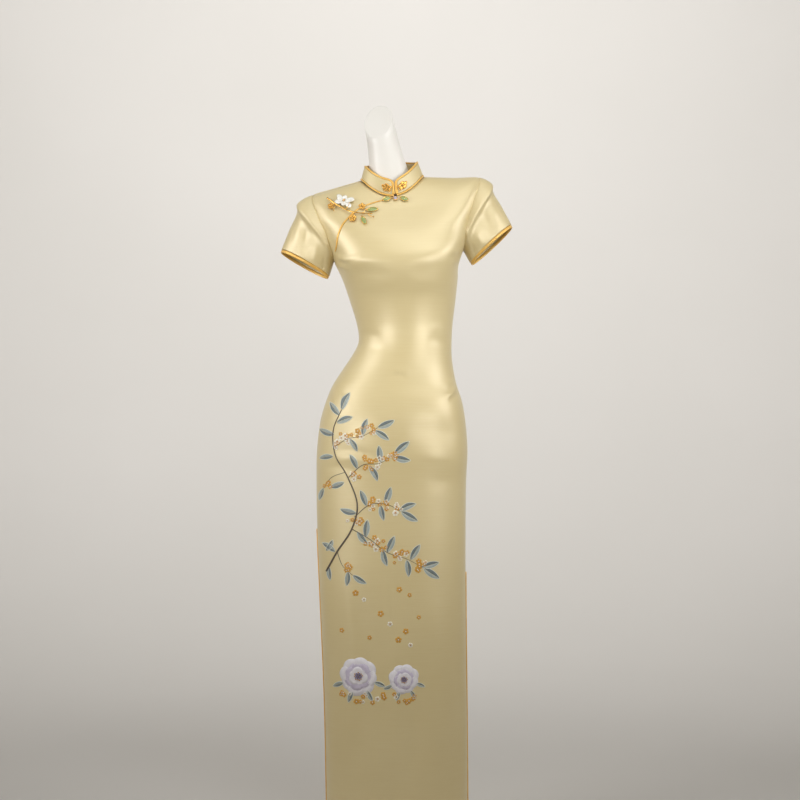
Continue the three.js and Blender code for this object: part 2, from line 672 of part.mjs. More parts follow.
function petalOutline(radius) {
  return steps(0, 2 * Math.PI, 6 * BLOSSOM.petals).slice(0, -1).map((angle) => {
    const reach = radius * (0.82 + 0.18 * Math.cos(BLOSSOM.petals * angle));
    return [reach * Math.sin(angle), reach * Math.cos(angle)];
  });
}

function leafOutline(length, width) {
  return steps(0, 2 * Math.PI, 16).slice(0, -1).map((angle) => {
    const pointed = 1 - 0.35 * Math.cos(angle) ** 4;
    return [length / 2 * Math.cos(angle), width / 2 * Math.sin(angle) * pointed];
  });
}

function roundOutline(radius) {
  return steps(0, 2 * Math.PI, 12).slice(0, -1)
    .map((angle) => [radius * Math.cos(angle), radius * Math.sin(angle)]);
}

// A plate at a place of a surface, from its back to its rim, and the rise of its middle.
function fixed(spot, outline, place, back, rim, crown) {
  return plate(placed(spot, place), outline, back, rim, crown);
}

// The brooch's twig, a flat bar along its route.
function twigBar() {
  const route = new THREE.CatmullRomCurve3(BROOCH_TWIG.map(([x, z]) => new THREE.Vector3(x, 0, z)));
  const across = (t) => {
    const run = route.getTangentAt(t);
    return new THREE.Vector3(-run.z, 0, run.x).multiplyScalar(TWIG.width / 2 * (1 - 0.5 * t));
  };
  const sheet = (out) => steps(0, 1, 12).map((t) => [-1, 1].map((side) => {
    const place = route.getPointAt(t).addScaledVector(across(t), side);
    return frontSpot(place.x, place.z, out);
  }));
  return wall(sheet(BROOCH_OUT + TWIG.wall), sheet(BROOCH_OUT));
}

// ---------------------------------------------------------------- form and stand

// One ring of the form's skin.
const formRing = (section) => steps(0, 2 * Math.PI, FORM_TURNS).slice(0, -1)
  .map((turn) => sectionPoint(section, turn));

// A section of the dress drawn in on all sides.
function drawnIn(station, inset, lower = 0) {
  const section = sectionAt(station);
  const depthInset = inset + 1;
  return { ...section, half: section.half - inset, front: section.front - depthInset,
    back: section.back - depthInset, zFront: section.zFront - lower, zBack: section.zBack - lower,
    zRight: section.zRight - lower, zLeft: section.zLeft - lower };
}

// The neck leans to the wearer's right and ends in a slanting flat cut.
function neckCut() {
  const { x, z, half, y, depth, lean, riseLeft, riseBack } = NECK_TOP;
  return steps(0, 2 * Math.PI, FORM_TURNS).slice(0, -1).map((turn) => {
    const across = half * Math.sin(turn);
    const behind = -depth * Math.cos(turn);
    const rise = riseLeft * across + riseBack * behind;
    return new THREE.Vector3(x + across + lean * rise, y + behind, z + rise);
  });
}

function formTorso() {
  const skirt = [785, 820, 857, 895, 923, 950, 975, 1000, 1033, 1066, 1095, 1132, 1187, 1231, 1264];
  const bottom = [[FORM_BOTTOM, 30], [FORM_BOTTOM + 4, 15]];
  return loft([
    ...bottom.map(([station, inset]) => formRing(drawnIn(station, inset + FORM_INSET))),
    ...skirt.map((station) => formRing(drawnIn(station, FORM_INSET))),
    formRing(drawnIn(ARMPIT, FORM_INSET + 1, 2)),
    ...FORM_SHOULDERS.map(formRing),
    neckCut(),
  ]);
}

// The pole stands on the boss and ends under the form.
function pole() {
  const bottom = BOSS.top + SEAM;
  const length = FORM_BOTTOM - SEAM - bottom;
  const geometry = new THREE.CylinderGeometry(POLE_RADIUS, POLE_RADIUS, length, 24);
  geometry.rotateX(Math.PI / 2);
  geometry.translate(0, 0, bottom + length / 2);
  return geometry;
}

// The base plate and its boss, turned in one piece.
function base() {
  const edge = 1.5;
  const profile = [
    [0, 0],
    [BASE_RADIUS - edge, 0],
    [BASE_RADIUS, edge],
    [BASE_RADIUS, BASE_PLATE - edge],
    [BASE_RADIUS - edge, BASE_PLATE],
    [BOSS.radius + 4, BASE_PLATE],
    [BOSS.radius, BASE_PLATE + 4],
    [BOSS.radius, BOSS.top - edge],
    [BOSS.radius - edge, BOSS.top],
    [0, BOSS.top],
  ].map(([radius, height]) => new THREE.Vector2(radius, height));
  const geometry = new THREE.LatheGeometry(profile, 36);
  geometry.rotateX(Math.PI / 2);
  return geometry;
}

// ---------------------------------------------------------------- the whole object

const dress = new THREE.Group();

function add(name, geometry, material) {
  const mesh = new THREE.Mesh(geometry, material);
  mesh.name = name;
  dress.add(mesh);
}

add('front_panel', frontPanel, FINISHES.silk);
add('front_underlap', underlap, FINISHES.silk);
add('back_panel', backPanel, FINISHES.silk);
for (const sleeve of SLEEVES) {
  add(sleeve.name, sleeveWall(sleeve), FINISHES.silk);
  add(sleeve.name.replace('sleeve', 'cuff_binding'), cuffBinding(sleeve), FINISHES.binding);
}
add('collar', collarWall(), FINISHES.silk);
add('collar_top_binding', collarTopBinding(), FINISHES.binding);
add('neck_piping', neckPiping(), FINISHES.binding);
add('lapel_binding', lapelBinding(), FINISHES.binding);
add('front_edge_binding', edgeBinding('front', false), FINISHES.binding);
add('back_edge_binding', edgeBinding('back', true), FINISHES.binding);

for (const { name, along, up } of COLLAR_BLOSSOMS) {
  const place = { x: along, y: up + COLLAR_FOOT };
  const solid = fixed(collarSpot, petalOutline(BLOSSOM.radius), place, BLOSSOM.out, BLOSSOM.wall, BLOSSOM.crown);
  add(name, solid, FINISHES.gold);
}
for (const { name, x, z, turn } of COLLAR_LEAVES) {
  const outline = leafOutline(CLASP_LEAF.length, CLASP_LEAF.width);
  const rim = CLASP_OUT + CLASP_LEAF.wall;
  add(name, fixed(frontSpot, outline, { x, y: z, turn }, CLASP_OUT, rim, CLASP_LEAF.crown), FINISHES.jade);
}
add('clasp_stone', fixed(frontSpot, roundOutline(CLASP_STONE.radius), { x: CLASP_STONE.x, y: CLASP_STONE.z },
  CLASP_OUT, CLASP_OUT + CLASP_STONE.wall, CLASP_STONE.crown), FINISHES.stone);
add('brooch_twig', twigBar(), FINISHES.gold);
for (const { name, x, z, radius } of BROOCH_BLOSSOMS) {
  const rim = BROOCH_OUT + BROOCH_WALL.blossom;
  const solid = fixed(frontSpot, petalOutline(radius), { x, y: z }, BROOCH_OUT, rim, BROOCH_CROWN.blossom);
  add(name, solid, FINISHES.gold);
}
for (const { name, x, z, length, turn } of BROOCH_LEAVES) {
  const outline = leafOutline(length, BROOCH_LEAF_WIDTH);
  const rim = BROOCH_OUT + BROOCH_WALL.leaf;
  add(name, fixed(frontSpot, outline, { x, y: z, turn }, BROOCH_OUT, rim, BROOCH_CROWN.leaf), FINISHES.jade);
}
const bloomOutline = leafOutline(BROOCH_BLOOM.length, BROOCH_BLOOM.width);
const bloomPlace = { x: BROOCH_BLOOM.x, y: BROOCH_BLOOM.z, turn: BROOCH_BLOOM.turn };
const bloomRim = BROOCH_OUT + BROOCH_BLOOM.wall;
const bloom = fixed(frontSpot, bloomOutline, bloomPlace, BROOCH_OUT, bloomRim, BROOCH_CROWN.bloom);
add('brooch_bloom', bloom, FINISHES.enamel);

add('form_torso', formTorso(), FINISHES.form);
add('form_pole', pole(), FINISHES.pole);
add('form_base', base(), FINISHES.base);

export default dress;
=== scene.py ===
import bpy
import math
import random
import numpy as np
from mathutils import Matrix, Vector


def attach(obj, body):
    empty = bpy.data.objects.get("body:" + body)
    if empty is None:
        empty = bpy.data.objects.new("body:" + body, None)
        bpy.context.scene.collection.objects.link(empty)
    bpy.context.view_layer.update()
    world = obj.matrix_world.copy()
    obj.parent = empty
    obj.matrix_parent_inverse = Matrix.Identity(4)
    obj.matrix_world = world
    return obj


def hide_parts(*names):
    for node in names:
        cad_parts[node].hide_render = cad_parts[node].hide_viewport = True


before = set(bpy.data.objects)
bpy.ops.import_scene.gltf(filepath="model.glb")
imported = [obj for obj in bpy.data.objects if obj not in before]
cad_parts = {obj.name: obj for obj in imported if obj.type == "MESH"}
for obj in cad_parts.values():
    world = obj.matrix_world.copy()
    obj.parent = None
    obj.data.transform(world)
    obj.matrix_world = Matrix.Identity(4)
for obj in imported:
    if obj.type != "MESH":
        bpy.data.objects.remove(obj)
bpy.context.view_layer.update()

# ------------------------------------------------------------------ studio, camera and light
# A plain grey-beige room: a pale floor that curves up into a round wall. The key light hangs
# high at the front right and falls off towards the skirt. The camera stands level with the hip.

MM = 0.001
CAMERA_DISTANCE = 3.5
CAMERA_ASIDE = 0.0075
CAMERA_HEIGHT = 0.967
FRAME_WIDTH = 1.76
SENSOR = 36.0
ROOM_RADIUS = 5.6
ROOM_COVE = 3.6
ROOM_HEIGHT = 5.0
LIGHTS = [
    # name, place, aim, size, power, colour, spread in degrees
    ("key", (0.8, -1.5, 2.7), (0.0, 0.0, 1.4), 1.4, 3.8, (0.97, 1.0, 1.0), 100),
    ("top", (0.1, -0.8, 3.0), (0.0, 0.0, 1.2), 1.2, 1.3, (0.97, 1.0, 1.0), 100),
    ("front_left", (-1.7, -2.3, 0.9), (0.0, 0.0, 1.16), 0.9, 0.75, (1.0, 1.0, 1.0), 30),
    ("front_right", (1.7, -2.3, 1.0), (0.0, 0.0, 1.2), 0.9, 0.6, (1.0, 1.0, 1.0), 26),
    ("left", (-1.9, -1.0, 1.9), (0.0, 0.0, 1.05), 1.2, 3.2, (1.0, 1.0, 1.0), 70),
    ("right", (2.0, -0.8, 1.7), (0.0, 0.0, 1.1), 1.1, 1.9, (1.0, 1.0, 1.0), 60),
    ("wash", (0.0, 1.8, 4.4), (0.0, 5.6, 2.8), 2.4, 115, (1.0, 1.0, 1.0), 160),
]


def linear(hex_colour, alpha=1.0):
    """An sRGB hex colour as linear red, green, blue and alpha."""
    parts = [int(hex_colour[i:i + 2], 16) / 255 for i in (1, 3, 5)]
    return [p / 12.92 if p <= 0.04045 else ((p + 0.055) / 1.055) ** 2.4 for p in parts] + [alpha]


def add_node(tree, kind, settings=None, values=None, links=None):
    """Adds one node with its settings, its own socket values and its links."""
    made = tree.nodes.new(kind)
    for key, value in (settings or {}).items():
        setattr(made, key, value)
    for key, value in (values or {}).items():
        made.inputs[key].default_value = value
    for key, socket in (links or {}).items():
        tree.links.new(socket, made.inputs[key])
    return made


def new_material(name):
    """An empty node material, its tree and its output node."""
    made = bpy.data.materials.new(name)
    made.use_nodes = True
    made.node_tree.nodes.clear()
    return made, made.node_tree, add_node(made.node_tree, "ShaderNodeOutputMaterial")


def emulsion_wall():
    """Matt emulsion on plaster: chalky, with the faint mottle of a rolled coat."""
    made, tree, output = new_material("wall_emulsion")
    coords = add_node(tree, "ShaderNodeTexCoord")
    mottle = add_node(tree, "ShaderNodeTexNoise", values={"Scale": 0.7, "Detail": 3.0},
                      links={"Vector": coords.outputs["Object"]})
    tone = add_node(tree, "ShaderNodeMix", {"data_type": "RGBA"},
                    {6: linear("#D5D2CD"), 7: linear("#DDDAD6")}, {0: mottle.outputs[0]})
    shader = add_node(tree, "ShaderNodeBsdfPrincipled", values={"Roughness": 0.9},
                      links={"Base Color": tone.outputs[2]})
    tree.links.new(shader.outputs[0], output.inputs[0])
    return made


def room_profile():
    """Radius and height of the room's skin, from the middle of the floor to the top of the wall."""
    points = [(0.0, 0.0), (ROOM_RADIUS - ROOM_COVE, 0.0)]
    for i in range(1, 13):
        angle = math.pi / 2 * i / 12
        points.append((ROOM_RADIUS - ROOM_COVE + ROOM_COVE * math.sin(angle), ROOM_COVE * (1 - math.cos(angle))))
    return points + [(ROOM_RADIUS, ROOM_HEIGHT)]


def build_room(turns=96):
    profile = room_profile()[1:]
    points = [(0.0, 0.0, 0.0)]
    for radius, height in profile:
        for k in range(turns):
            angle = 2 * math.pi * k / turns
            points.append((radius * math.cos(angle), radius * math.sin(angle), height))
    faces = [(0, 1 + k, 1 + (k + 1) % turns) for k in range(turns)]
    for ring in range(len(profile) - 1):
        for k in range(turns):
            a, b = 1 + ring * turns + k, 1 + ring * turns + (k + 1) % turns
            faces.append((a, a + turns, b + turns, b))
    mesh = bpy.data.meshes.new("room")
    mesh.from_pydata(points, [], faces)
    mesh.polygons.foreach_set("use_smooth", [True] * len(mesh.polygons))
    room = bpy.data.objects.new("room", mesh)
    bpy.context.scene.collection.objects.link(room)
    room.data.materials.append(emulsion_wall())


def aim(thing, target):
    """Turns a camera or lamp so that it looks at a point."""
    away = thing.location - Vector(target)
    thing.rotation_euler = away.to_track_quat("Z", "Y").to_euler()


def build_lights():
    for name, place, target, size, power, colour, spread in LIGHTS:
        lamp = bpy.data.lights.new(name, "AREA")
        lamp.shape = "DISK"
        lamp.size = size
        lamp.energy = power
        lamp.color = colour
        lamp.spread = math.radians(spread)
        made = bpy.data.objects.new(name, lamp)
        made.location = place
        made.visible_camera = False
        bpy.context.scene.collection.objects.link(made)
        aim(made, target)


def build_camera():
    lens = bpy.data.cameras.new("camera")
    lens.sensor_width = SENSOR
    lens.lens = SENSOR * CAMERA_DISTANCE / FRAME_WIDTH
    made = bpy.data.objects.new("camera", lens)
    made.location = (CAMERA_ASIDE, -CAMERA_DISTANCE, CAMERA_HEIGHT)
    made.rotation_euler = (math.radians(90), 0.0, 0.0)
    bpy.context.scene.collection.objects.link(made)
    bpy.context.scene.camera = made


build_camera()
build_room()
build_lights()
world = bpy.data.worlds.new("studio_air")
world.use_nodes = True
world.node_tree.nodes["Background"].inputs[0].default_value = linear("#F4F1EC")
world.node_tree.nodes["Background"].inputs[1].default_value = 0.46
bpy.context.scene.world = world
bpy.context.scene.view_settings.view_transform = "Standard"

# ------------------------------------------------------------------ the garment's own surface
# The dress is drafted as sections from hem to neck, the same as its solid: the height in
# front, behind and at the two sides, the centre, the half width and the two depths.

SECTION_COLUMNS = ("station", "z_front", "z_back", "z_right", "z_left",
                   "x", "half", "y", "front", "back", "full")
LEVEL_COLUMNS = ("z", "x", "half", "front", "back", "full")
LEVEL_SECTIONS = [
    (60, 1.5, 154.5, 70, 70, 0.02),
    (307, -2, 156, 76, 74, 0.02),
    (527, -7.7, 159.5, 84, 81, 0.03),
    (703, -11.5, 163.4, 92, 95, 0.03),
    (791, -11.5, 164.5, 98, 108, 0.03),
    (857, -9.5, 165.5, 106, 116, 0.03),
    (923, -8, 159, 110, 111, 0.02),
    (967, -5.5, 148.5, 105, 98, 0.02),
    (1000, -4, 136, 98, 86, 0.01),
    (1033, 3, 122, 93, 77, 0),
    (1066, 12, 109, 89, 71, 0),
    (1095, 18.7, 102.3, 87, 68, 0),
    (1132, 18, 105, 89, 69, 0),
    (1187, 13, 116.6, 100, 78, 0.01),
    (1231, 7.7, 126.5, 116, 86, 0.03),
    (1264, 1, 135.4, 123, 91, 0.05),
]
YOKE_SECTIONS = [
    (1285, 1287, 1290, 1273, 1297, 4.5, 142.5, 3, 122, 88, 0.05),
    (1325, 1322, 1338, 1322, 1351, -0.5, 166, 6, 109, 82, 0.03),
    (1367, 1352, 1385, 1373, 1412, -2.5, 187, 8, 90, 75, 0.03),
    (1410, 1380, 1425, 1417, 1456, -2, 184, 8, 70, 64, 0.02),
    (1430, 1396, 1443, 1434, 1456.5, -5, 130, 7, 60, 57, 0),
    (1448, 1409, 1458, 1450, 1458, -9.5, 69.5, 5, 50, 50, 0),
]
CLOTH = 1.5
SEAM = 0.4
HEM, ARMPIT, SHOULDER_TIP, NECKLINE = 60, 1285, 1410, 1448
ARMHOLE_NOTCH = math.radians(28)
SLIT_RIGHT, SLIT_LEFT = 685, 590
HANG_APART, HANG_LENGTH = 2, 150

SECTIONS = [(z, z, z, z, z, x, half, 0, front, back, full)
            for z, x, half, front, back, full in LEVEL_SECTIONS] + YOKE_SECTIONS
TABLE = {name: np.array([row[i] for row in SECTIONS], float) for i, name in enumerate(SECTION_COLUMNS)}


def follow(stations, values, at):
    """A smooth curve through one column of a table, read at any stations."""
    at = np.clip(np.asarray(at, float), stations[0], stations[-1])
    slopes = np.empty(len(values))
    slopes[1:-1] = (values[2:] - values[:-2]) / (stations[2:] - stations[:-2])
    slopes[0] = (values[1] - values[0]) / (stations[1] - stations[0])
    slopes[-1] = (values[-1] - values[-2]) / (stations[-1] - stations[-2])
    i = np.clip(np.searchsorted(stations, at, "right") - 1, 0, len(stations) - 2)
    span = stations[i + 1] - stations[i]
    t = (at - stations[i]) / span
    start, end = values[i], values[i + 1]
    leave, arrive = slopes[i] * span, slopes[i + 1] * span
    return ((2 * start - 2 * end + leave + arrive) * t ** 3
            + (-3 * start + 3 * end - 2 * leave - arrive) * t ** 2 + leave * t + start)


def column(name, station):
    return follow(TABLE["station"], TABLE[name], station)


def on_section(turn, read):
    """Points of a section at angles from centre front that grow towards the wearer's left."""
    sine, cosine = np.sin(turn), np.cos(turn)
    full = read("full")
    depth = np.where(cosine > 0, read("front"), read("back"))
    middle = np.where(cosine > 0, read("z_front"), read("z_back"))
    side = np.where(sine < 0, read("z_right"), read("z_left"))
    return np.stack([
        read("x") + read("half") * (sine + full * np.sin(3 * turn)) / (1 - full),
        read("y") - depth * (cosine - full * np.cos(3 * turn)) / (1 - full),
        middle * cosine ** 2 + side * sine ** 2,
    ], -1)


def smooth(value):
    """Eases from 0 to 1."""
    t = np.clip(value, 0, 1)
    return t * t * (3 - 2 * t)


def dress_point(turn, station):
    """A point of the dress, in millimetres. Front and back hang a little apart in the slits."""
    turn, station = np.broadcast_arrays(np.asarray(turn, float), np.asarray(station, float))
    point = on_section(turn, lambda name: column(name, station))
    slit = np.where(np.sin(turn) < 0, SLIT_RIGHT, SLIT_LEFT)
    apart = HANG_APART * smooth((slit - station) / HANG_LENGTH)
    point[..., 1] += np.where(np.cos(turn) > 0, -apart, apart)
    return point


def outward(surface, u, v, step_u, step_v):
    """The outward direction of a surface given by two parameters."""
    along = surface(u + step_u, v) - surface(u - step_u, v)
    up = surface(u, v + step_v) - surface(u, v - step_v)
    normal = np.cross(along, up)
    return normal / np.linalg.norm(normal, axis=-1, keepdims=True)


# Creases of the silk: from x, z to x, z on the front or back, the width of the crease and how
# far it stands out (a negative one is a trough). They fade out towards both ends.
FRONT_CREASES = [
    # bust darts, pulled in at the side seams
    (-134, 1268, -97, 1250, 5, -3.0), (-134, 1259, -100, 1245, 4, 2.2), (-133, 1276, -104, 1262, 5, 2.0),
    (140, 1283, 112, 1270, 5, -3.2), (140, 1275, 116, 1263, 4, 2.1), (141, 1290, 120, 1280, 5, 1.9),
    # the cloth strains from the darts across under the bust
    (-96, 1246, -10, 1226, 16, -1.6), (110, 1262, 20, 1236, 18, -1.4),
    # waist and high hip
    (-20, 1019, 26, 1016, 5, -1.3), (-8, 1028, 34, 1026, 7, 0.9), (-70, 1080, 5, 1068, 14, -1.2),
    (60, 1100, 118, 1082, 10, -1.3), (66, 1126, 116, 1114, 10, 1.0), (-84, 1112, -30, 1100, 9, -1.2),
    (135, 1000, 106, 972, 4, 3.2), (134, 990, 110, 964, 4, -2.6), (128, 1012, 98, 994, 6, 1.4),
    (-140, 990, -96, 972, 9, -1.3), (-146, 974, -90, 956, 10, 1.1),
    # sagging across the hip
    (-160, 858, -20, 838, 9, -1.5), (-150, 842, -30, 824, 8, 1.1), (-166, 822, -60, 806, 9, -1.2),
    (20, 900, 140, 884, 22, -2.2), (40, 846, 150, 828, 14, 1.3), (60, 790, 158, 776, 15, -1.1),
    # long soft falls down the skirt
    (-118, 640, -136, 120, 13, 2.0), (-92, 600, -108, 90, 16, -1.8), (-20, 560, -34, 70, 22, 1.8),
    (26, 520, 10, 70, 18, -1.9), (70, 600, 62, 80, 24, 1.7), (112, 560, 110, 90, 16, -1.5),
    (-56, 420, -64, 70, 14, 1.2), (132, 420, 138, 80, 10, 1.4),
]
BACK_CREASES = [
    (-90, 1300, 60, 1292, 26, -1.6), (60, 1236, 124, 1226, 12, -1.4), (-110, 1232, -60, 1222, 11, -1.3),
    (-66, 1062, 70, 1050, 9, -2.0), (-50, 1044, 84, 1034, 10, 1.5), (-30, 1024, 60, 1018, 9, -1.4),
    (-140, 990, -80, 966, 8, 1.5), (142, 1000, 96, 976, 7, 1.8), (-128, 800, 20, 776, 14, -1.7),
    (0, 772, 140, 752, 13, -1.4), (-110, 752, 90, 730, 18, 1.6),
    (-104, 640, -118, 90, 18, -2.0), (-44, 660, -52, 80, 22, 2.2), (8, 600, 2, 70, 20, -2.1),
    (62, 620, 66, 80, 24, 1.9), (116, 560, 122, 90, 16, -1.6),
]


def crease_height(x, z, creases):
    """How far the creases lift or sink the cloth at places seen from the front or back."""
    height = np.zeros(np.shape(x))
    for x0, z0, x1, z1, width, lift in creases:
        run = np.array([x1 - x0, z1 - z0], float)
        length = np.hypot(*run)
        share = ((x - x0) * run[0] + (z - z0) * run[1]) / length ** 2
        bow = 0.06 * length * np.sin(np.pi * np.clip(share, 0, 1))
        across = ((x - x0) * run[1] - (z - z0) * run[0]) / length + bow
        fade = smooth(share / 0.35) * smooth((1 - share) / 0.35)
        height = height + lift * fade * np.exp(-(across / width) ** 2)
    return height


def silk_point(turn, station):
    """The dress's surface with its creases."""
    point = dress_point(turn, station)
    lean = outward(dress_point, turn, np.clip(station, HEM + 0.5, NECKLINE - 0.5), 0.01, 0.5)
    front = crease_height(point[..., 0], point[..., 2], FRONT_CREASES)
    back = crease_height(point[..., 0], point[..., 2], BACK_CREASES)
    share = smooth(np.abs(np.cos(turn)) / 0.22)
    lift = np.where(np.cos(turn) > 0, front, back) * share
    return point + lean * lift[..., None]


def silk_out(turn, station, out):
    """A point of the creased dress, moved out from it."""
    turn, station = np.broadcast_arrays(np.asarray(turn, float), np.asarray(station, float))
    lean = outward(silk_point, turn, np.clip(station, HEM + 0.5, NECKLINE - 0.5), 0.01, 0.5)
    return silk_point(turn, station) + lean * np.asarray(out, float)[..., None]


# ------------------------------------------------------------------ the silk panels
# Heavy mulberry silk satin, cut as one front, one back and a small right front under the
# lapel. Warp floats give it a soft bright sheen that turns dull gold where it turns away.


def silk_satin():
    """Silk satin, piece-dyed pale champagne: fine crosswise slubs and a broad soft highlight."""
    made, tree, output = new_material("silk_satin_champagne")
    coords = add_node(tree, "ShaderNodeTexCoord")
    # Slubs run across the cloth: about 60 mm long and 1.6 mm thick.
    slub_space = add_node(tree, "ShaderNodeMapping", values={"Scale": (16, 16, 620)},
                          links={"Vector": coords.outputs["Object"]})
    slub = add_node(tree, "ShaderNodeTexNoise", values={"Scale": 1.0, "Detail": 3.0, "Roughness": 0.6},
                    links={"Vector": slub_space.outputs[0]})
    cloud = add_node(tree, "ShaderNodeTexNoise", values={"Scale": 6.0, "Detail": 2.0},
                     links={"Vector": coords.outputs["Object"]})
    # The satin's floats lie 0.1 mm apart, drawn at 0.9 mm so that they show.
    float_space = add_node(tree, "ShaderNodeMapping", values={"Scale": (1100, 1100, 90)},
                           links={"Vector": coords.outputs["Object"]})
    floats = add_node(tree, "ShaderNodeTexNoise", values={"Scale": 1.0, "Detail": 1.0},
                      links={"Vector": float_space.outputs[0]})
    slub_tone = add_node(tree, "ShaderNodeMix", {"data_type": "RGBA"},
                         {6: linear("#DCC892"), 7: linear("#E3D3A3")}, {0: slub.outputs[0]})
    tone = add_node(tree, "ShaderNodeMix", {"data_type": "RGBA", "blend_type": "MULTIPLY"},
                    {7: linear("#F6F2E6")}, {0: cloud.outputs[0], 6: slub_tone.outputs[2]})
    gloss = add_node(tree, "ShaderNodeMapRange", values={3: 0.36, 4: 0.46},
                     links={0: slub.outputs[0]})
    weave = add_node(tree, "ShaderNodeMath", {"operation": "ADD"},
                     links={0: slub.outputs[0], 1: floats.outputs[0]})
    bump = add_node(tree, "ShaderNodeBump", values={"Strength": 0.10, "Distance": 0.0004},
                    links={"Height": weave.outputs[0]})
    shader = add_node(tree, "ShaderNodeBsdfPrincipled",
                      values={"Metallic": 0.12, "IOR": 1.54, "Specular IOR Level": 0.9, "Anisotropic": 0.35,
                              "Coat Weight": 0.9, "Coat Roughness": 0.44, "Sheen Weight": 0.25,
                              "Sheen Roughness": 0.4, "Sheen Tint": linear("#FFF6DC")},
                      links={"Base Color": tone.outputs[2], "Roughness": gloss.outputs[0],
                             "Normal": bump.outputs[0]})
    tree.links.new(shader.outputs[0], output.inputs[0])
    return made


SILK = silk_satin()


def grid_faces(rows, columns, wrap=False, last=0):
    """Quads of a grid of points. A wrapped grid closes on itself along its rows, and one with
    a last row closes from there back to its first."""
    spans = columns if wrap else columns - 1
    after = [(r + 1) % last if last else r + 1 for r in range(rows - 1)]
    return [(r * columns + c, r * columns + (c + 1) % columns,
             after[r] * columns + (c + 1) % columns, after[r] * columns + c)
            for r in range(rows - 1) for c in range(spans)]


def piece(name, points, faces, material, stands_for=()):
    """A smooth mesh from points in millimetres, riding on the dress's one body."""
    mesh = bpy.data.meshes.new(name)
    mesh.from_pydata((np.reshape(points, (-1, 3)) * MM).tolist(), [], faces)
    mesh.polygons.foreach_set("use_smooth", [True] * len(mesh.polygons))
    made = bpy.data.objects.new(name, mesh)
    bpy.context.scene.collection.objects.link(made)
    made.data.materials.append(material)
    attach(made, "root")
    if stands_for:
        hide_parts(*stands_for)
    return made


def thicken(made, wall, rounding=0.0):
    """Gives a sheet its wall, inwards, and rounds its edges."""
    solid = made.modifiers.new("wall", "SOLIDIFY")
    solid.thickness = wall * MM
    solid.offset = -1
    if rounding:
        edge = made.modifiers.new("edge", "BEVEL")
        edge.width = rounding * MM
        edge.segments = 2
        edge.limit_method = "ANGLE"


def armhole_bite(station):
    """The angle that the armhole takes from a panel's side."""
    rise = 2 * (station - ARMPIT) / (SHOULDER_TIP - ARMPIT) - 1
    return ARMHOLE_NOTCH * np.sqrt(np.clip(1 - rise ** 2, 0, None))


EDGE_BINDING_WIDTH = 4
LAPEL_STATIONS = np.array([1285, 1291, 1300, 1325, 1367, 1410, 1430, 1448], float)
LAPEL_ANGLES = np.array([-89.5, -71, -58, -46, -31, -22, -15, 4], float)


def side_edge(station, slit, depth):
    """The angle of a panel's side edge, which gives way to the binding below the slit's top."""
    inset = np.where(station < slit, EDGE_BINDING_WIDTH + SEAM / 2, SEAM / 8)
    return math.pi / 2 - armhole_bite(station) - inset / column(depth, station)


def lapel_edge(station):
    return np.radians(follow(LAPEL_STATIONS, LAPEL_ANGLES, station))


def panel(name, stations, start, end, columns, out=0.0):
    """A cloth panel between two side edges."""
    share = np.linspace(0, 1, columns + 1)[None, :]
    first, last = start(stations)[:, None], end(stations)[:, None]
    turn = first + (last - first) * share
    points = silk_out(turn, stations[:, None], np.full(turn.shape, out))
    made = piece(name + "_silk", points, grid_faces(*turn.shape), SILK, [name])
    thicken(made, CLOTH)
    return made


skirt_rows = np.linspace(HEM + EDGE_BINDING_WIDTH, ARMPIT, 260)
yoke_rows = np.concatenate([ARMPIT + (SHOULDER_TIP - ARMPIT) * (1 - np.cos(np.linspace(0, math.pi, 40))) / 2,
                            np.linspace(SHOULDER_TIP, NECKLINE, 14)[1:]])
all_rows = np.concatenate([skirt_rows, yoke_rows[1:]])


def front_right_edge(station):
    return np.where(station <= ARMPIT, -side_edge(station, SLIT_RIGHT, "front"), lapel_edge(station))


front = panel("front_panel", all_rows, front_right_edge,
              lambda s: side_edge(s, SLIT_LEFT, "front"), 110)
back = panel("back_panel", all_rows, lambda s: math.pi - side_edge(s, SLIT_LEFT, "back"),
             lambda s: math.pi + side_edge(s, SLIT_RIGHT, "back"), 100)
LAPEL_TUCK = 22
LAPEL_GAP = 0.3
underlap = panel("front_underlap", yoke_rows[3:], lambda s: -side_edge(s, SLIT_RIGHT, "front"),
                 lambda s: lapel_edge(s) + LAPEL_TUCK / column("half", s), 50, -(CLOTH + LAPEL_GAP))

# ------------------------------------------------------------------ sleeves
# Short set-in sleeves of the same silk. With no arm inside, the cap stands out from the
# shoulder in a ridge, tucks in under it and falls to a flattened cuff.

SLEEVES = [
    {"name": "sleeve_right", "side": -1, "cap_out": 30, "cap_drop": 17,
     "outer": (-255, 1291), "inner": (-151, 1234)},
    {"name": "sleeve_left", "side": 1, "cap_out": 26, "cap_drop": 13,
     "outer": (255, 1346), "inner": (166, 1264)},
]
CUFF_DEPTH, CUFF_TILT, CUFF_WIDTH = 35, 4, 7
CAP_FORWARD, CAP_TUCK = 9, 5
SLEEVE_TURNS = 144
SLEEVE_ROWS = 64
# Folds of a sleeve: where round it (0 is the top, a quarter turn the front), how far the fold
# slants by the cuff, its width as a share of a turn, how far it stands out, and where it is
# deepest on the way to the cuff.
SLEEVE_FOLDS = [
    (0.06, 0.03, 0.020, -1.8, 0.45), (0.14, 0.05, 0.028, 1.5, 0.60), (0.21, 0.03, 0.022, -2.0, 0.50),
    (0.29, 0.04, 0.026, 1.8, 0.75), (0.36, 0.03, 0.018, -2.2, 0.80), (0.42, 0.02, 0.016, 1.6, 0.85),
    (0.57, -0.03, 0.020, 1.5, 0.70), (0.66, -0.04, 0.024, -2.0, 0.60), (0.78, -0.03, 0.026, 1.7, 0.50),
    (0.90, -0.03, 0.022, -1.6, 0.55),
]


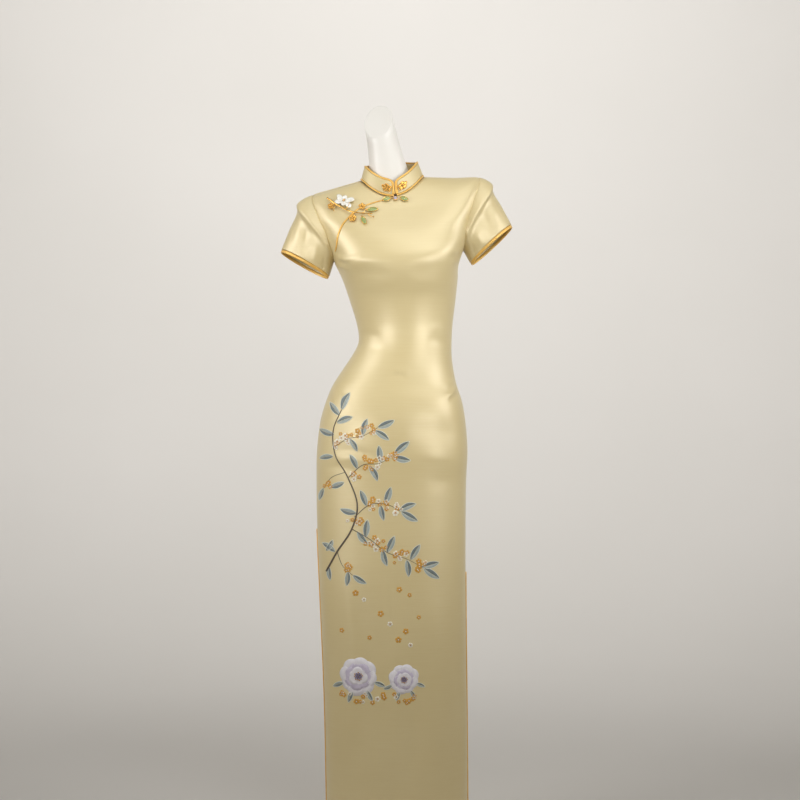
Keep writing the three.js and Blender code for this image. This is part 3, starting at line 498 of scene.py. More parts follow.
def armhole_point(side, turn):
    station = ARMPIT + (SHOULDER_TIP - ARMPIT) * (np.cos(turn) + 1) / 2
    point = dress_point(side * (math.pi / 2 - ARMHOLE_NOTCH * np.sin(turn)), station)
    point[..., 0] += side * 0.15
    return point


def ridge_point(sleeve, turn):
    high = np.cos(turn / 2) ** 2
    point = armhole_point(sleeve["side"], turn)
    point[..., 0] += sleeve["side"] * (1 + sleeve["cap_out"] * high ** 1.25)
    point[..., 1] -= CAP_FORWARD * np.sin(turn) * high
    point[..., 2] -= 1 + sleeve["cap_drop"] * high ** 2
    return point


def cuff_point(sleeve, turn):
    outer, inner = np.array(sleeve["outer"], float), np.array(sleeve["inner"], float)
    reach = np.array([(outer - inner)[0] / 2, 0, (outer - inner)[1] / 2])
    centre = np.array([(outer + inner)[0] / 2, 4, (outer + inner)[1] / 2])
    down = np.array([sleeve["side"] * abs(reach[2]), 0, -abs(reach[0])])
    down /= np.linalg.norm(down)
    across, forward = np.cos(turn)[..., None], np.sin(turn)[..., None]
    return centre + reach * across - down * CUFF_TILT * forward - np.array([0, CUFF_DEPTH, 0]) * forward


def under_ridge_point(sleeve, turn):
    high = np.cos(turn / 2) ** 2
    ridge, cuff = ridge_point(sleeve, turn), cuff_point(sleeve, turn)
    point = ridge + 0.14 * (cuff - ridge)
    point[..., 0] -= sleeve["side"] * CAP_TUCK * high
    point[..., 1] += CAP_TUCK * np.sin(turn) * high
    return point


def before_cuff(sleeve, turn, back):
    run = cuff_point(sleeve, turn) - under_ridge_point(sleeve, turn)
    run /= np.linalg.norm(run, axis=-1, keepdims=True)
    return cuff_point(sleeve, turn) - run * np.asarray(back, float)[..., None]


def sleeve_point(sleeve, turn, row):
    """A point of the sleeve: row 0 is the armhole seam and row 1 the cuff end of the silk."""
    turn, row = np.broadcast_arrays(np.asarray(turn, float), np.asarray(row, float))
    seam, ridge = armhole_point(sleeve["side"], turn), ridge_point(sleeve, turn)
    shelf = 0.5 * (seam + ridge)
    shelf[..., 2] += 2.5 * np.cos(turn / 2) ** 2
    under = under_ridge_point(sleeve, turn)
    end = before_cuff(sleeve, turn, np.full(turn.shape, CUFF_WIDTH + SEAM))
    keys = [seam, shelf, ridge, under, under + 0.5 * (end - under), end]
    places = np.array([0, 0.1, 0.2, 0.32, 0.66, 1.0])
    point = np.empty(turn.shape + (3,))
    i = np.clip(np.searchsorted(places, row, "right") - 1, 0, len(keys) - 2)
    stack = np.stack(keys)
    slopes = np.gradient(stack, places, axis=0)
    pick = np.indices(turn.shape)
    start, finish = stack[(i, *pick)], stack[(i + 1, *pick)]
    span = (places[i + 1] - places[i])[..., None]
    leave, arrive = slopes[(i, *pick)] * span, slopes[(i + 1, *pick)] * span
    t = ((row - places[i]))[..., None] / span
    point = ((2 * start - 2 * finish + leave + arrive) * t ** 3
             + (-3 * start + 3 * finish - 2 * leave - arrive) * t ** 2 + leave * t + start)
    return point


def folded_sleeve_point(sleeve, turn, row):
    """The sleeve with its soft folds, which fade out at the seam and at the cuff's binding."""
    point = sleeve_point(sleeve, turn, row)
    height = np.zeros(np.shape(row))
    for place, slant, width, lift, deepest in SLEEVE_FOLDS:
        away = (turn / (2 * math.pi) - place - slant * (row - 0.5) + 0.5) % 1 - 0.5
        along = np.exp(-((row - deepest) / 0.28) ** 2)
        height = height + lift * along * np.exp(-(away / width) ** 2)
    height = height * smooth((row - 0.25) / 0.15) * smooth((1 - row) / 0.12)
    centre = 0.5 * (sleeve_point(sleeve, turn, row) + sleeve_point(sleeve, 2 * math.pi - turn + 0 * turn, row))
    away = point - centre
    away[..., 0] *= 0.3
    away /= np.linalg.norm(away, axis=-1, keepdims=True) + 1e-6
    return point + away * height[..., None]


def binding_satin():
    """Gold satin cut on the bias and folded round the edge, with slanting fine ribs. Its colour is patched at random
    between a painted highlight yellow and a painted shade orange.
    """
    made, tree, output = new_material("binding_satin_gold")
    coords = add_node(tree, "ShaderNodeTexCoord")
    # The bias ribs are 0.3 mm apart in the cloth, drawn at 1.4 mm so that they show.
    slant = add_node(tree, "ShaderNodeMapping", values={"Rotation": (0.5, 0.75, 0.3)},
                     links={"Vector": coords.outputs["Object"]})
    ribs = add_node(tree, "ShaderNodeTexWave", {"wave_type": "BANDS"},
                    {"Scale": 220.0, "Distortion": 1.5, "Detail": 1.0}, {"Vector": slant.outputs[0]})
    cloud = add_node(tree, "ShaderNodeTexNoise", values={"Scale": 45.0, "Detail": 2.0},
                     links={"Vector": coords.outputs["Object"]})
    # Painted light: the two tones are the gold's lit yellow and its shaded orange underside, painted in as colour and
    # mixed in random patches.
    tone = add_node(tree, "ShaderNodeMix", {"data_type": "RGBA"},
                    {6: linear("#E3A63C"), 7: linear("#F8D27A")}, {0: cloud.outputs[0]})
    bump = add_node(tree, "ShaderNodeBump", values={"Strength": 0.15, "Distance": 0.0003},
                    links={"Height": ribs.outputs[0]})
    shader = add_node(tree, "ShaderNodeBsdfPrincipled",
                      values={"Metallic": 0.25, "Roughness": 0.38, "IOR": 1.54, "Sheen Weight": 0.15},
                      links={"Base Color": tone.outputs[2], "Normal": bump.outputs[0]})
    tree.links.new(shader.outputs[0], output.inputs[0])
    return made


BINDING = binding_satin()


def roll_section(width, wall, flat_back=False):
    """The outline of a folded binding, as places across it and heights: full, with soft edges."""
    half = wall / 2
    top = [(0.0, 0.25 * half), (0.08 * width, 0.8 * half), (0.3 * width, 1.1 * half),
           (0.5 * width, 1.2 * half), (0.7 * width, 1.1 * half), (0.92 * width, 0.8 * half), (width, 0.25 * half)]
    bottom = [(a, -half if flat_back else -h) for a, h in reversed(top)]
    return top + bottom


def roll(name, spots, section, closed, stands_for=()):
    """A binding along a line: spots gives the points of one section at every place along it."""
    rings = np.stack([spots(across, height) for across, height in section], 1)
    count, around = rings.shape[:2]
    faces = [(r * around + k, r * around + (k + 1) % around,
              ((r + 1) % count) * around + (k + 1) % around, ((r + 1) % count) * around + k)
             for r in range(count if closed else count - 1) for k in range(around)]
    if not closed:
        faces += [tuple(range(around - 1, -1, -1)), tuple((count - 1) * around + k for k in range(around))]
    made = piece(name + "_roll", rings, faces, BINDING, stands_for)
    outward_faces(made)
    return made


def outward_faces(made):
    """Turns a closed mesh's faces outwards."""
    import bmesh
    work = bmesh.new()
    work.from_mesh(made.data)
    bmesh.ops.recalc_face_normals(work, faces=work.faces)
    work.to_mesh(made.data)
    work.free()


for sleeve in SLEEVES:
    turns = np.linspace(0, 2 * math.pi, SLEEVE_TURNS, endpoint=False)
    rows = np.linspace(0, 1, SLEEVE_ROWS)
    grid = folded_sleeve_point(sleeve, turns[None, :] + 0 * rows[:, None], rows[:, None] + 0 * turns[None, :])
    allowance = armhole_point(sleeve["side"], turns)
    allowance += (-3.0 * sleeve["side"], 0, 0) + (allowance.mean(0) - allowance) * 0.03
    grid = np.concatenate([allowance[None], grid])
    faces = grid_faces(SLEEVE_ROWS + 1, SLEEVE_TURNS, wrap=True)
    if sleeve["side"] > 0:
        faces = [face[::-1] for face in faces]
    made = piece(sleeve["name"] + "_silk", grid, faces, SILK, [sleeve["name"]])
    thicken(made, CLOTH)

    middle = before_cuff(sleeve, turns, np.full(turns.shape, CUFF_WIDTH / 2)).mean(0)

    def cuff_spots(across, height, sleeve=sleeve, turns=turns, middle=middle):
        line = before_cuff(sleeve, turns, np.full(turns.shape, CUFF_WIDTH - across))
        away = line - middle
        run = cuff_point(sleeve, turns) - before_cuff(sleeve, turns, np.full(turns.shape, CUFF_WIDTH))
        run /= np.linalg.norm(run, axis=-1, keepdims=True)
        away -= (away * run).sum(-1, keepdims=True) * run
        away /= np.linalg.norm(away, axis=-1, keepdims=True)
        return line + away * (height - CLOTH / 2)

    roll(sleeve["name"].replace("sleeve", "cuff_binding"), cuff_spots,
                      roll_section(CUFF_WIDTH, 2.4), True,
                      [sleeve["name"].replace("sleeve", "cuff_binding")])

# ------------------------------------------------------------------ collar, its binding and the neck piping
# A stiffened stand collar whose rounded fronts meet at the throat. A folded gold binding runs
# round its top and front edges, and a corded piping fills the neck seam.

COLLAR_TOP = {"z_front": 1450, "z_back": 1499, "z_right": 1484, "z_left": 1493,
              "x": -12, "half": 58, "y": 8, "front": 44, "back": 46, "full": 0}
COLLAR_WALL = 2.2
COLLAR_BINDING = 5
CORNER_ALONG, CORNER_DOWN = 14, 12
OPENING = math.radians(6)
FRONT_RADIUS = 52
PIPING_RADIUS = 2.2
PIPING_UP = PIPING_RADIUS + 0.6
COLLAR_FOOT = PIPING_UP + PIPING_RADIUS + SEAM


def collar_rise(turn):
    """The neck seam, the way the collar stands up from it, and how high it stands."""
    foot = dress_point(turn, NECKLINE)
    way = on_section(turn, lambda name: COLLAR_TOP[name]) - foot
    height = np.linalg.norm(way, axis=-1)
    return foot, way / height[..., None], height


def collar_point(turn, height):
    foot, up, _ = collar_rise(turn)
    return foot + up * np.asarray(height, float)[..., None]


def collar_out(turn, height, out):
    turn, height = np.broadcast_arrays(np.asarray(turn, float), np.asarray(height, float))
    lean = outward(collar_point, turn, height, 0.02, 0.5)
    return collar_point(turn, height) + lean * np.asarray(out, float)[..., None]


def left_of(along):
    return OPENING + along / FRONT_RADIUS


def right_of(along):
    return OPENING + 2 * math.pi - along / FRONT_RADIUS


def collar_edge(inset):
    """Angles and heights along the collar's edge, from the left front round to the right front."""
    height = float(collar_rise(np.array(left_of(CORNER_ALONG)))[2])
    edge = SEAM + inset
    line = [(edge, up) for up in np.linspace(COLLAR_FOOT, height - CORNER_DOWN, 8)[:-1]]
    for angle in np.linspace(0, math.pi / 2, 14):
        line.append((edge + (CORNER_ALONG - inset) * (1 - math.cos(angle)),
                     height - CORNER_DOWN + (CORNER_DOWN - inset) * math.sin(angle)))
    last = line[-1][0]
    left = [(left_of(along), up) for along, up in line]
    right = [(right_of(along), up) for along, up in reversed(line)]
    top = np.linspace(left_of(last), right_of(last), 150)[1:-1]
    over = list(zip(top, collar_rise(top)[2] - inset))
    return np.array(left + over + right)


def collar_height(turn):
    """The silk's height at an angle, under its binding."""
    inset = COLLAR_BINDING + SEAM
    along = np.minimum(turn - OPENING, OPENING + 2 * math.pi - turn) * FRONT_RADIUS - SEAM - inset
    into = np.clip(1 - along / (CORNER_ALONG - inset), 0, 1)
    return collar_rise(turn)[2] - inset - (CORNER_DOWN - inset) * (1 - np.sqrt(1 - into ** 2))


first = SEAM + COLLAR_BINDING + SEAM
collar_turns = np.concatenate([np.linspace(left_of(first), left_of(first + 9), 16)[:-1],
                               np.linspace(left_of(first + 9), right_of(first + 9), 150),
                               np.linspace(right_of(first + 9), right_of(first), 16)[1:]])
collar_shares = np.linspace(0, 1, 12)[:, None]
collar_heights = COLLAR_FOOT + (collar_height(collar_turns) - COLLAR_FOOT)[None, :] * collar_shares
collar_grid = collar_out(collar_turns[None, :] + 0 * collar_shares, collar_heights, np.zeros(collar_heights.shape))
collar = piece("collar_silk", collar_grid, grid_faces(*collar_heights.shape), SILK, ["collar"])
thicken(collar, COLLAR_WALL)

edge_lines = {inset: collar_edge(inset) for inset in (0, COLLAR_BINDING)}


def collar_binding_spots(across, height):
    share = across / COLLAR_BINDING
    line = edge_lines[0] * (1 - share) + edge_lines[COLLAR_BINDING] * share
    return collar_out(line[:, 0], line[:, 1], np.full(len(line), height - COLLAR_WALL / 2))


collar_binding = roll("collar_top_binding", collar_binding_spots, roll_section(COLLAR_BINDING, 3.0), False,
                      ["collar_top_binding"])


def piping_spots(across, height):
    turns = np.linspace(left_of(2.5), right_of(2.5), 180)
    foot, up, _ = collar_rise(turns)
    lean = outward(collar_point, turns, np.full(turns.shape, PIPING_UP), 0.02, 0.5)
    return foot + up * (PIPING_UP + across) + lean * (height - CLOTH / 2)


round_section = [(PIPING_RADIUS * math.sin(a), PIPING_RADIUS * math.cos(a))
                 for a in np.linspace(0, 2 * math.pi, 12, endpoint=False)]
piping = roll("neck_piping", piping_spots, round_section, False, ["neck_piping"])

# ------------------------------------------------------------------ bindings of the lapel, slits and hem
# The same gold bias binding. It lies along the lapel's opening edge, and is folded round the
# free edges of front and back, down one slit, round the hem and up the other.

LAPEL_BINDING = 5
LAPEL_OUT = 0.25
lapel_stations = np.concatenate([np.linspace(1296, 1410, 70), np.linspace(1410, 1444, 26)[1:]])


def lapel_spots(across, height):
    turn = lapel_edge(lapel_stations) + across / column("half", lapel_stations)
    return silk_out(turn, lapel_stations, np.full(turn.shape, LAPEL_OUT + 0.75 + height))


lapel_binding = roll("lapel_binding", lapel_spots, roll_section(LAPEL_BINDING, 1.5, flat_back=True), False,
                     ["lapel_binding"])


def panel_edge(depth, behind, inset):
    """Angles and stations down one slit, round the hem and up the other slit of a panel."""
    def turn_at(station, side):
        turn = side * (math.pi / 2 - (SEAM / 2 + inset) / column(depth, station))
        return math.pi - turn if behind else turn
    low = HEM + inset
    right = np.linspace(SLIT_RIGHT - 1, low, 150)
    left = np.linspace(low, SLIT_LEFT - 1, 130)
    right_turns, left_turns = turn_at(right, -1), turn_at(left, 1)
    hem = np.linspace(right_turns[-1], left_turns[0], 110)[1:-1]
    return np.stack([np.concatenate([right_turns, hem, left_turns]),
                     np.concatenate([right, np.full(len(hem), low), left])], 1)


def edge_binding(name, depth, behind):
    lines = [panel_edge(depth, behind, inset) for inset in (0, EDGE_BINDING_WIDTH)]

    def spots(across, height):
        share = across / EDGE_BINDING_WIDTH
        line = lines[0] * (1 - share) + lines[1] * share
        return silk_out(line[:, 0], line[:, 1], np.full(len(line), height))

    return roll(name, spots, roll_section(EDGE_BINDING_WIDTH, 3.8), False, [name])


front_binding = edge_binding("front_edge_binding", "front", False)
back_binding = edge_binding("back_edge_binding", "back", True)

# ------------------------------------------------------------------ the dress form
# A limbless torso moulded in fibreglass and sprayed gloss white. It ends under the hip, and its
# neck leans to the wearer's right and is cut off flat on a slant.

FORM_INSET, FORM_BOTTOM = 6, 770
FORM_TURNS = 96
FORM_SHOULDERS = [
    # z_front, z_back, z_right, z_left, x, half, y, front, back
    (1318, 1334, 1318, 1343, -0.5, 141, 6, 97, 73),
    (1342, 1376, 1362, 1398, -2.5, 156, 8, 78, 64),
    (1366, 1408, 1400, 1435, -3, 152, 8, 58, 51),
    (1383, 1427, 1419, 1444, -5, 122, 7, 47, 43),
    (1400, 1441, 1436, 1447, -9, 66, 5, 39, 39),
    (1424, 1453, 1452, 1456, -13, 47, 5, 34, 36),
    (1470, 1480, 1478, 1478, -18, 42, 5, 34, 36),
]
NECK_CUT = {"x": -40, "z": 1580, "half": 33, "y": 5, "depth": 33, "lean": -0.24, "left": 0.5, "back": 1.1}


def form_ring(station, inset, lower=0):
    """A section of the dress drawn in on all sides, a little more from front to back."""
    turn = np.linspace(0, 2 * math.pi, FORM_TURNS, endpoint=False)

    def read(name):
        value = column(name, station)
        if name.startswith("z_"):
            return value - lower
        return value - {"half": inset, "front": inset + 1, "back": inset + 1}.get(name, 0)
    return on_section(turn, read)


def shoulder_ring(row):
    turn = np.linspace(0, 2 * math.pi, FORM_TURNS, endpoint=False)
    names = ("z_front", "z_back", "z_right", "z_left", "x", "half", "y", "front", "back")
    facts = dict(zip(names, row), full=0)
    return on_section(turn, lambda name: facts[name])


def neck_ring(share=1.0):
    turn = np.linspace(0, 2 * math.pi, FORM_TURNS, endpoint=False)
    across = share * NECK_CUT["half"] * np.sin(turn)
    behind = -share * NECK_CUT["depth"] * np.cos(turn)
    rise = NECK_CUT["left"] * across + NECK_CUT["back"] * behind
    return np.stack([NECK_CUT["x"] + across + NECK_CUT["lean"] * rise, NECK_CUT["y"] + behind,
                     NECK_CUT["z"] + rise], -1)


def between_rings(rings, steps=5):
    """More rings between the given ones, on a smooth curve through them."""
    stack = np.stack(rings)
    run = np.concatenate([[0], np.cumsum(np.linalg.norm(np.diff(stack, axis=0), axis=-1).mean(1))])
    at = np.concatenate([np.linspace(run[i], run[i + 1], steps, endpoint=False) for i in range(len(run) - 1)]
                        + [[run[-1]]])
    flat = stack.reshape(len(run), -1)
    slopes = np.gradient(flat, run, axis=0)
    i = np.clip(np.searchsorted(run, at, "right") - 1, 0, len(run) - 2)
    span = (run[i + 1] - run[i])[:, None]
    t = (at - run[i])[:, None] / span
    start, end, leave, arrive = flat[i], flat[i + 1], slopes[i] * span, slopes[i + 1] * span
    curve = ((2 * start - 2 * end + leave + arrive) * t ** 3
             + (-3 * start + 3 * end - 2 * leave - arrive) * t ** 2 + leave * t + start)
    return curve.reshape(len(at), -1, 3)


def white_lacquer():
    """Fibreglass sprayed with white lacquer: smooth and semi-gloss, with a faint orange peel."""
    made, tree, output = new_material("white_lacquer_satin")
    coords = add_node(tree, "ShaderNodeTexCoord")
    peel = add_node(tree, "ShaderNodeTexNoise", values={"Scale": 260.0, "Detail": 1.0},
                    links={"Vector": coords.outputs["Object"]})
    tint = add_node(tree, "ShaderNodeTexNoise", values={"Scale": 9.0, "Detail": 2.0},
                    links={"Vector": coords.outputs["Object"]})
    tone = add_node(tree, "ShaderNodeMix", {"data_type": "RGBA"},
                    {6: linear("#EFEBE3"), 7: linear("#F5F2EC")}, {0: tint.outputs[0]})
    bump = add_node(tree, "ShaderNodeBump", values={"Strength": 0.03, "Distance": 0.0003},
                    links={"Height": peel.outputs[0]})
    shader = add_node(tree, "ShaderNodeBsdfPrincipled",
                      values={"Roughness": 0.35, "IOR": 1.5, "Coat Weight": 0.3, "Coat Roughness": 0.15},
                      links={"Base Color": tone.outputs[2], "Normal": bump.outputs[0]})
    tree.links.new(shader.outputs[0], output.inputs[0])
    return made


form_rings = between_rings(
    [form_ring(FORM_BOTTOM, FORM_INSET + 30), form_ring(FORM_BOTTOM + 4, FORM_INSET + 15)]
    + [form_ring(z, FORM_INSET) for z in (785, 820, 857, 895, 923, 950, 975, 1000, 1033, 1066,
                                          1095, 1132, 1187, 1231, 1264)]
    + [form_ring(ARMPIT, FORM_INSET + 1, 2)] + [shoulder_ring(row) for row in FORM_SHOULDERS]
    + [neck_ring()])
count = len(form_rings)
top = np.stack([neck_ring(share) for share in (0.985, 0.95)])
form_points = np.concatenate([form_rings, top]).reshape(-1, 3)
form_faces = grid_faces(count + 2, FORM_TURNS, wrap=True)
form_faces += [tuple(range(FORM_TURNS - 1, -1, -1)),
               tuple((count + 1) * FORM_TURNS + k for k in range(FORM_TURNS))]
form = piece("form_torso_shell", form_points, form_faces, white_lacquer(), ["form_torso"])
outward_faces(form)

# ------------------------------------------------------------------ the stand
# A polished steel tube on a white powder-coated steel disc with a turned boss.

POLE_RADIUS, BASE_RADIUS, BASE_PLATE = 14, 150, 10
BOSS_RADIUS, BOSS_TOP = 26, 42


def polished_steel():
    """Polished steel tube with the fine rings left by the buffing wheel."""
    made, tree, output = new_material("polished_steel")
    coords = add_node(tree, "ShaderNodeTexCoord")
    # Buffing marks run round the tube, 0.7 mm apart along it.
    rings = add_node(tree, "ShaderNodeMapping", values={"Scale": (20, 20, 1500)},
                     links={"Vector": coords.outputs["Object"]})
    marks = add_node(tree, "ShaderNodeTexNoise", values={"Scale": 1.0, "Detail": 2.0},
                     links={"Vector": rings.outputs[0]})
    gloss = add_node(tree, "ShaderNodeMapRange", values={3: 0.12, 4: 0.26}, links={0: marks.outputs[0]})
    shader = add_node(tree, "ShaderNodeBsdfPrincipled",
                      values={"Base Color": linear("#B9BBBD"), "Metallic": 1.0, "Anisotropic": 0.4},
                      links={"Roughness": gloss.outputs[0]})
    tree.links.new(shader.outputs[0], output.inputs[0])
    return made


def powder_coat():
    """White polyester powder coat: even, satin, with a fine pebbled skin."""
    made, tree, output = new_material("white_powder_coat")
    coords = add_node(tree, "ShaderNodeTexCoord")
    grain = add_node(tree, "ShaderNodeTexNoise", values={"Scale": 700.0, "Detail": 1.0},
                     links={"Vector": coords.outputs["Object"]})
    bump = add_node(tree, "ShaderNodeBump", values={"Strength": 0.12, "Distance": 0.0002},
                    links={"Height": grain.outputs[0]})
    shader = add_node(tree, "ShaderNodeBsdfPrincipled",
                      values={"Base Color": linear("#ECEAE5"), "Roughness": 0.5, "IOR": 1.5},
                      links={"Normal": bump.outputs[0]})
    tree.links.new(shader.outputs[0], output.inputs[0])
    return made


def turned(name, profile, material, stands_for, turns=72):
    """A solid turned about the upright axis from its outline, given as radius and height."""
    angles = np.linspace(0, 2 * math.pi, turns, endpoint=False)
    rings = np.array([[(radius * math.cos(a), radius * math.sin(a), height) for a in angles]
                      for radius, height in profile])
    faces = grid_faces(len(profile), turns, wrap=True)
    faces += [tuple(range(turns - 1, -1, -1)), tuple((len(profile) - 1) * turns + k for k in range(turns))]
    made = piece(name, rings, faces, material, stands_for)
    outward_faces(made)
    sharp = made.modifiers.new("facets", "EDGE_SPLIT")
    sharp.split_angle = math.radians(50)
    return made


pole = turned("pole_tube", [(POLE_RADIUS - 2, BOSS_TOP + SEAM), (POLE_RADIUS, BOSS_TOP + SEAM + 1),
                            (POLE_RADIUS, FORM_BOTTOM - 2 * SEAM - 1), (POLE_RADIUS - 2, FORM_BOTTOM - SEAM)],
              polished_steel(), ["form_pole"])
base = turned("base_disc", [(BASE_RADIUS - 1.5, 0), (BASE_RADIUS - 0.4, 0.4), (BASE_RADIUS, 1.5),
                            (BASE_RADIUS, BASE_PLATE - 1.5), (BASE_RADIUS - 0.4, BASE_PLATE - 0.4),
                            (BASE_RADIUS - 1.5, BASE_PLATE), (BOSS_RADIUS + 4, BASE_PLATE),
                            (BOSS_RADIUS + 1, BASE_PLATE + 1), (BOSS_RADIUS, BASE_PLATE + 4),
                            (BOSS_RADIUS, BOSS_TOP - 1.5), (BOSS_RADIUS - 0.4, BOSS_TOP - 0.4),
                            (BOSS_RADIUS - 1.5, BOSS_TOP)],
              powder_coat(), ["form_base"])

# ------------------------------------------------------------------ the collar clasp
# Cast and gilded blossoms with beaded petals on the two collar fronts, and under them two
# enamelled leaves and a small set stone.

MAP_STEP_X, MAP_STEP_Z = 2.0, 3.0
MAP_X = np.arange(-184, 184.1, MAP_STEP_X)
MAP_Z = np.arange(66, 1443.1, MAP_STEP_Z)


def find_on_front(x, z):
    """The angle and station on the front of the dress that have given x and z."""
    turn, station = np.arcsin(np.clip(x / 190, -0.9, 0.9)), z + 0.0
    for _ in range(26):
        here = dress_point(turn, station)
        along, up = dress_point(turn + 0.01, station), dress_point(turn, station + 1)
        turn = np.clip(turn + 0.7 * (x - here[..., 0]) / ((along - here)[..., 0] / 0.01), -1.45, 1.45)
        station = np.clip(station + 0.7 * (z - here[..., 2]) / (up - here)[..., 2], HEM + 1, NECKLINE - 1)
    return turn, station


def between(rows, steps):
    """A grid made finer along its first direction by straight steps."""
    at = np.linspace(0, len(rows) - 1, (len(rows) - 1) * steps + 1)
    low = np.minimum(at.astype(int), len(rows) - 2)
    share = (at - low).reshape((-1,) + (1,) * (rows.ndim - 1))
    return rows[low] * (1 - share) + rows[low + 1] * share


def map_front():
    """The creased front as a chart: its points and outward directions at even x and z."""
    coarse_z, coarse_x = np.meshgrid(MAP_Z[::3], MAP_X[::4], indexing="ij")
    found = np.stack(find_on_front(coarse_x, coarse_z), -1)
    fine = between(between(found, 3).swapaxes(0, 1), 4).swapaxes(0, 1)
    turn, station = fine[..., 0], fine[..., 1]
    return silk_point(turn, station), silk_out(turn, station, 1.0) - silk_point(turn, station)


FRONT_MAP, FRONT_LEAN = map_front()


def front_spot(x, z, out):
    """A point above the front of the dress, in millimetres."""
    across = np.clip((x - MAP_X[0]) / MAP_STEP_X, 0, FRONT_MAP.shape[1] - 1.001)
    up = np.clip((z - MAP_Z[0]) / MAP_STEP_Z, 0, FRONT_MAP.shape[0] - 1.001)
    i, j = up.astype(int), across.astype(int)
    t, u = (up - i)[..., None], (across - j)[..., None]
    point, lean = [(field[i, j] * (1 - t) * (1 - u) + field[i + 1, j] * t * (1 - u)
                    + field[i, j + 1] * (1 - t) * u + field[i + 1, j + 1] * t * u)
                   for field in (FRONT_MAP, FRONT_LEAN)]
    return point + lean * out[..., None]


def collar_spot(along, up, out):
    return collar_out(OPENING + along / FRONT_RADIUS, up, out)


# A part is drawn flat, as points (across, up, height above the cloth) and faces. It is turned,
# moved and joined with others, and the whole is then laid on the dress at once.

def capped(rings):
    """A closed part from rings of points."""
    rings = np.asarray(rings, float)
    count, around = rings.shape[:2]
    faces = grid_faces(count, around, wrap=True)
    faces += [tuple(range(around - 1, -1, -1)), tuple((count - 1) * around + k for k in range(around))]
    return rings.reshape(-1, 3), faces


def moved(part, x, y, turn=0.0, out=0.0):
    points, faces = part
    cosine, sine = math.cos(math.radians(turn)), math.sin(math.radians(turn))
    a, b, h = points.T
    return np.stack([x + a * cosine - b * sine, y + a * sine + b * cosine, h + out], 1), faces


def bead(x, y, out, radius, around=8, rings=5):
    """A small ball, its centre above a place."""
    angle = np.linspace(0, 2 * math.pi, around, endpoint=False)
    return capped([np.stack([x + radius * math.sin(polar) * np.cos(angle),
                             y + radius * math.sin(polar) * np.sin(angle),
                             np.full(around, out - radius * math.cos(polar))], 1)
                   for polar in np.linspace(0, math.pi, rings + 2)[1:-1]])


def dome(outline, low, high, crown, shares=(1.0, 0.92, 0.75, 0.5, 0.25)):
    """A cushioned plate, from an outline round its own centre."""
    outline = np.asarray(outline, float)
    rings = [np.column_stack([outline, np.full(len(outline), low)])]
    rings += [np.column_stack([outline * share, np.full(len(outline), high + crown * (1 - share ** 2))])
              for share in shares]
    return capped(rings)


def wire(route, out, radius, around=8, closed=False):
    """A round wire laid along a route."""
    route = np.asarray(route, float)
    run = np.roll(route, -1, 0) - np.roll(route, 1, 0) if closed else np.gradient(route, axis=0)
    run /= np.linalg.norm(run, axis=1, keepdims=True)
    side = np.stack([-run[:, 1], run[:, 0]], 1)
    radius = np.broadcast_to(np.asarray(radius, float), len(route))
    rings = np.stack([np.column_stack([route + side * (radius * math.cos(angle))[:, None],
                                       out + radius * math.sin(angle)])
                      for angle in np.linspace(0, 2 * math.pi, around, endpoint=False)], 1)
    if not closed:
        return capped(rings)
    return rings.reshape(-1, 3), grid_faces(len(rings) + 1, around, wrap=True, last=len(rings))


def joined(name, surface, parts, material, stands_for=()):
    """One piece from closed parts, laid on a surface."""
    starts = np.cumsum([0] + [len(points) for points, _ in parts])
    flat = np.concatenate([points for points, _ in parts])
    faces = [tuple(start + i for i in face) for start, (_, rows) in zip(starts.tolist(), parts) for face in rows]
    made = piece(name, surface(flat[:, 0], flat[:, 1], flat[:, 2]), faces, material, stands_for)
    outward_faces(made)
    return made


def gilt_metal():
    """Brass casting, polished and gold plated: warm, bright and a little worn on its high spots."""
    made, tree, output = new_material("gilt_brass_polished")
    coords = add_node(tree, "ShaderNodeTexCoord")
    wear = add_node(tree, "ShaderNodeTexNoise", values={"Scale": 500.0, "Detail": 2.0},
                    links={"Vector": coords.outputs["Object"]})
    gloss = add_node(tree, "ShaderNodeMapRange", values={3: 0.16, 4: 0.32}, links={0: wear.outputs[0]})
    shader = add_node(tree, "ShaderNodeBsdfPrincipled",
                      values={"Base Color": linear("#E8B864"), "Metallic": 1.0},
                      links={"Roughness": gloss.outputs[0]})
    tree.links.new(shader.outputs[0], output.inputs[0])
    return made


def enamel(name, low, high):
    """Vitreous enamel, clouded between two tones and fired to a gloss."""
    made, tree, output = new_material(name)
    coords = add_node(tree, "ShaderNodeTexCoord")
    cloud = add_node(tree, "ShaderNodeTexNoise", values={"Scale": 160.0, "Detail": 2.0},
                     links={"Vector": coords.outputs["Object"]})
    tone = add_node(tree, "ShaderNodeMix", {"data_type": "RGBA"},
                    {6: linear(low), 7: linear(high)}, {0: cloud.outputs[0]})
    shader = add_node(tree, "ShaderNodeBsdfPrincipled",
                      values={"Roughness": 0.18, "IOR": 1.5, "Coat Weight": 0.5, "Coat Roughness": 0.08},
                      links={"Base Color": tone.outputs[2]})
    tree.links.new(shader.outputs[0], output.inputs[0])
    return made


def lead_crystal():
    """Clear cut crystal with a faint lilac tint: glassy, with flat facets."""
    made, tree, output = new_material("lead_crystal")
    coords = add_node(tree, "ShaderNodeTexCoord")
    cloud = add_node(tree, "ShaderNodeTexNoise", values={"Scale": 200.0},
                     links={"Vector": coords.outputs["Object"]})
    tone = add_node(tree, "ShaderNodeMix", {"data_type": "RGBA"},
                    {6: linear("#DDD3F0"), 7: linear("#F4F0FA")}, {0: cloud.outputs[0]})
    shader = add_node(tree, "ShaderNodeBsdfPrincipled",
                      values={"Roughness": 0.03, "IOR": 1.58, "Transmission Weight": 0.6},
                      links={"Base Color": tone.outputs[2]})
    tree.links.new(shader.outputs[0], output.inputs[0])
    return made


GILT = gilt_metal()
JADE = enamel("enamel_olive_jade", "#72904F", "#A3B877")


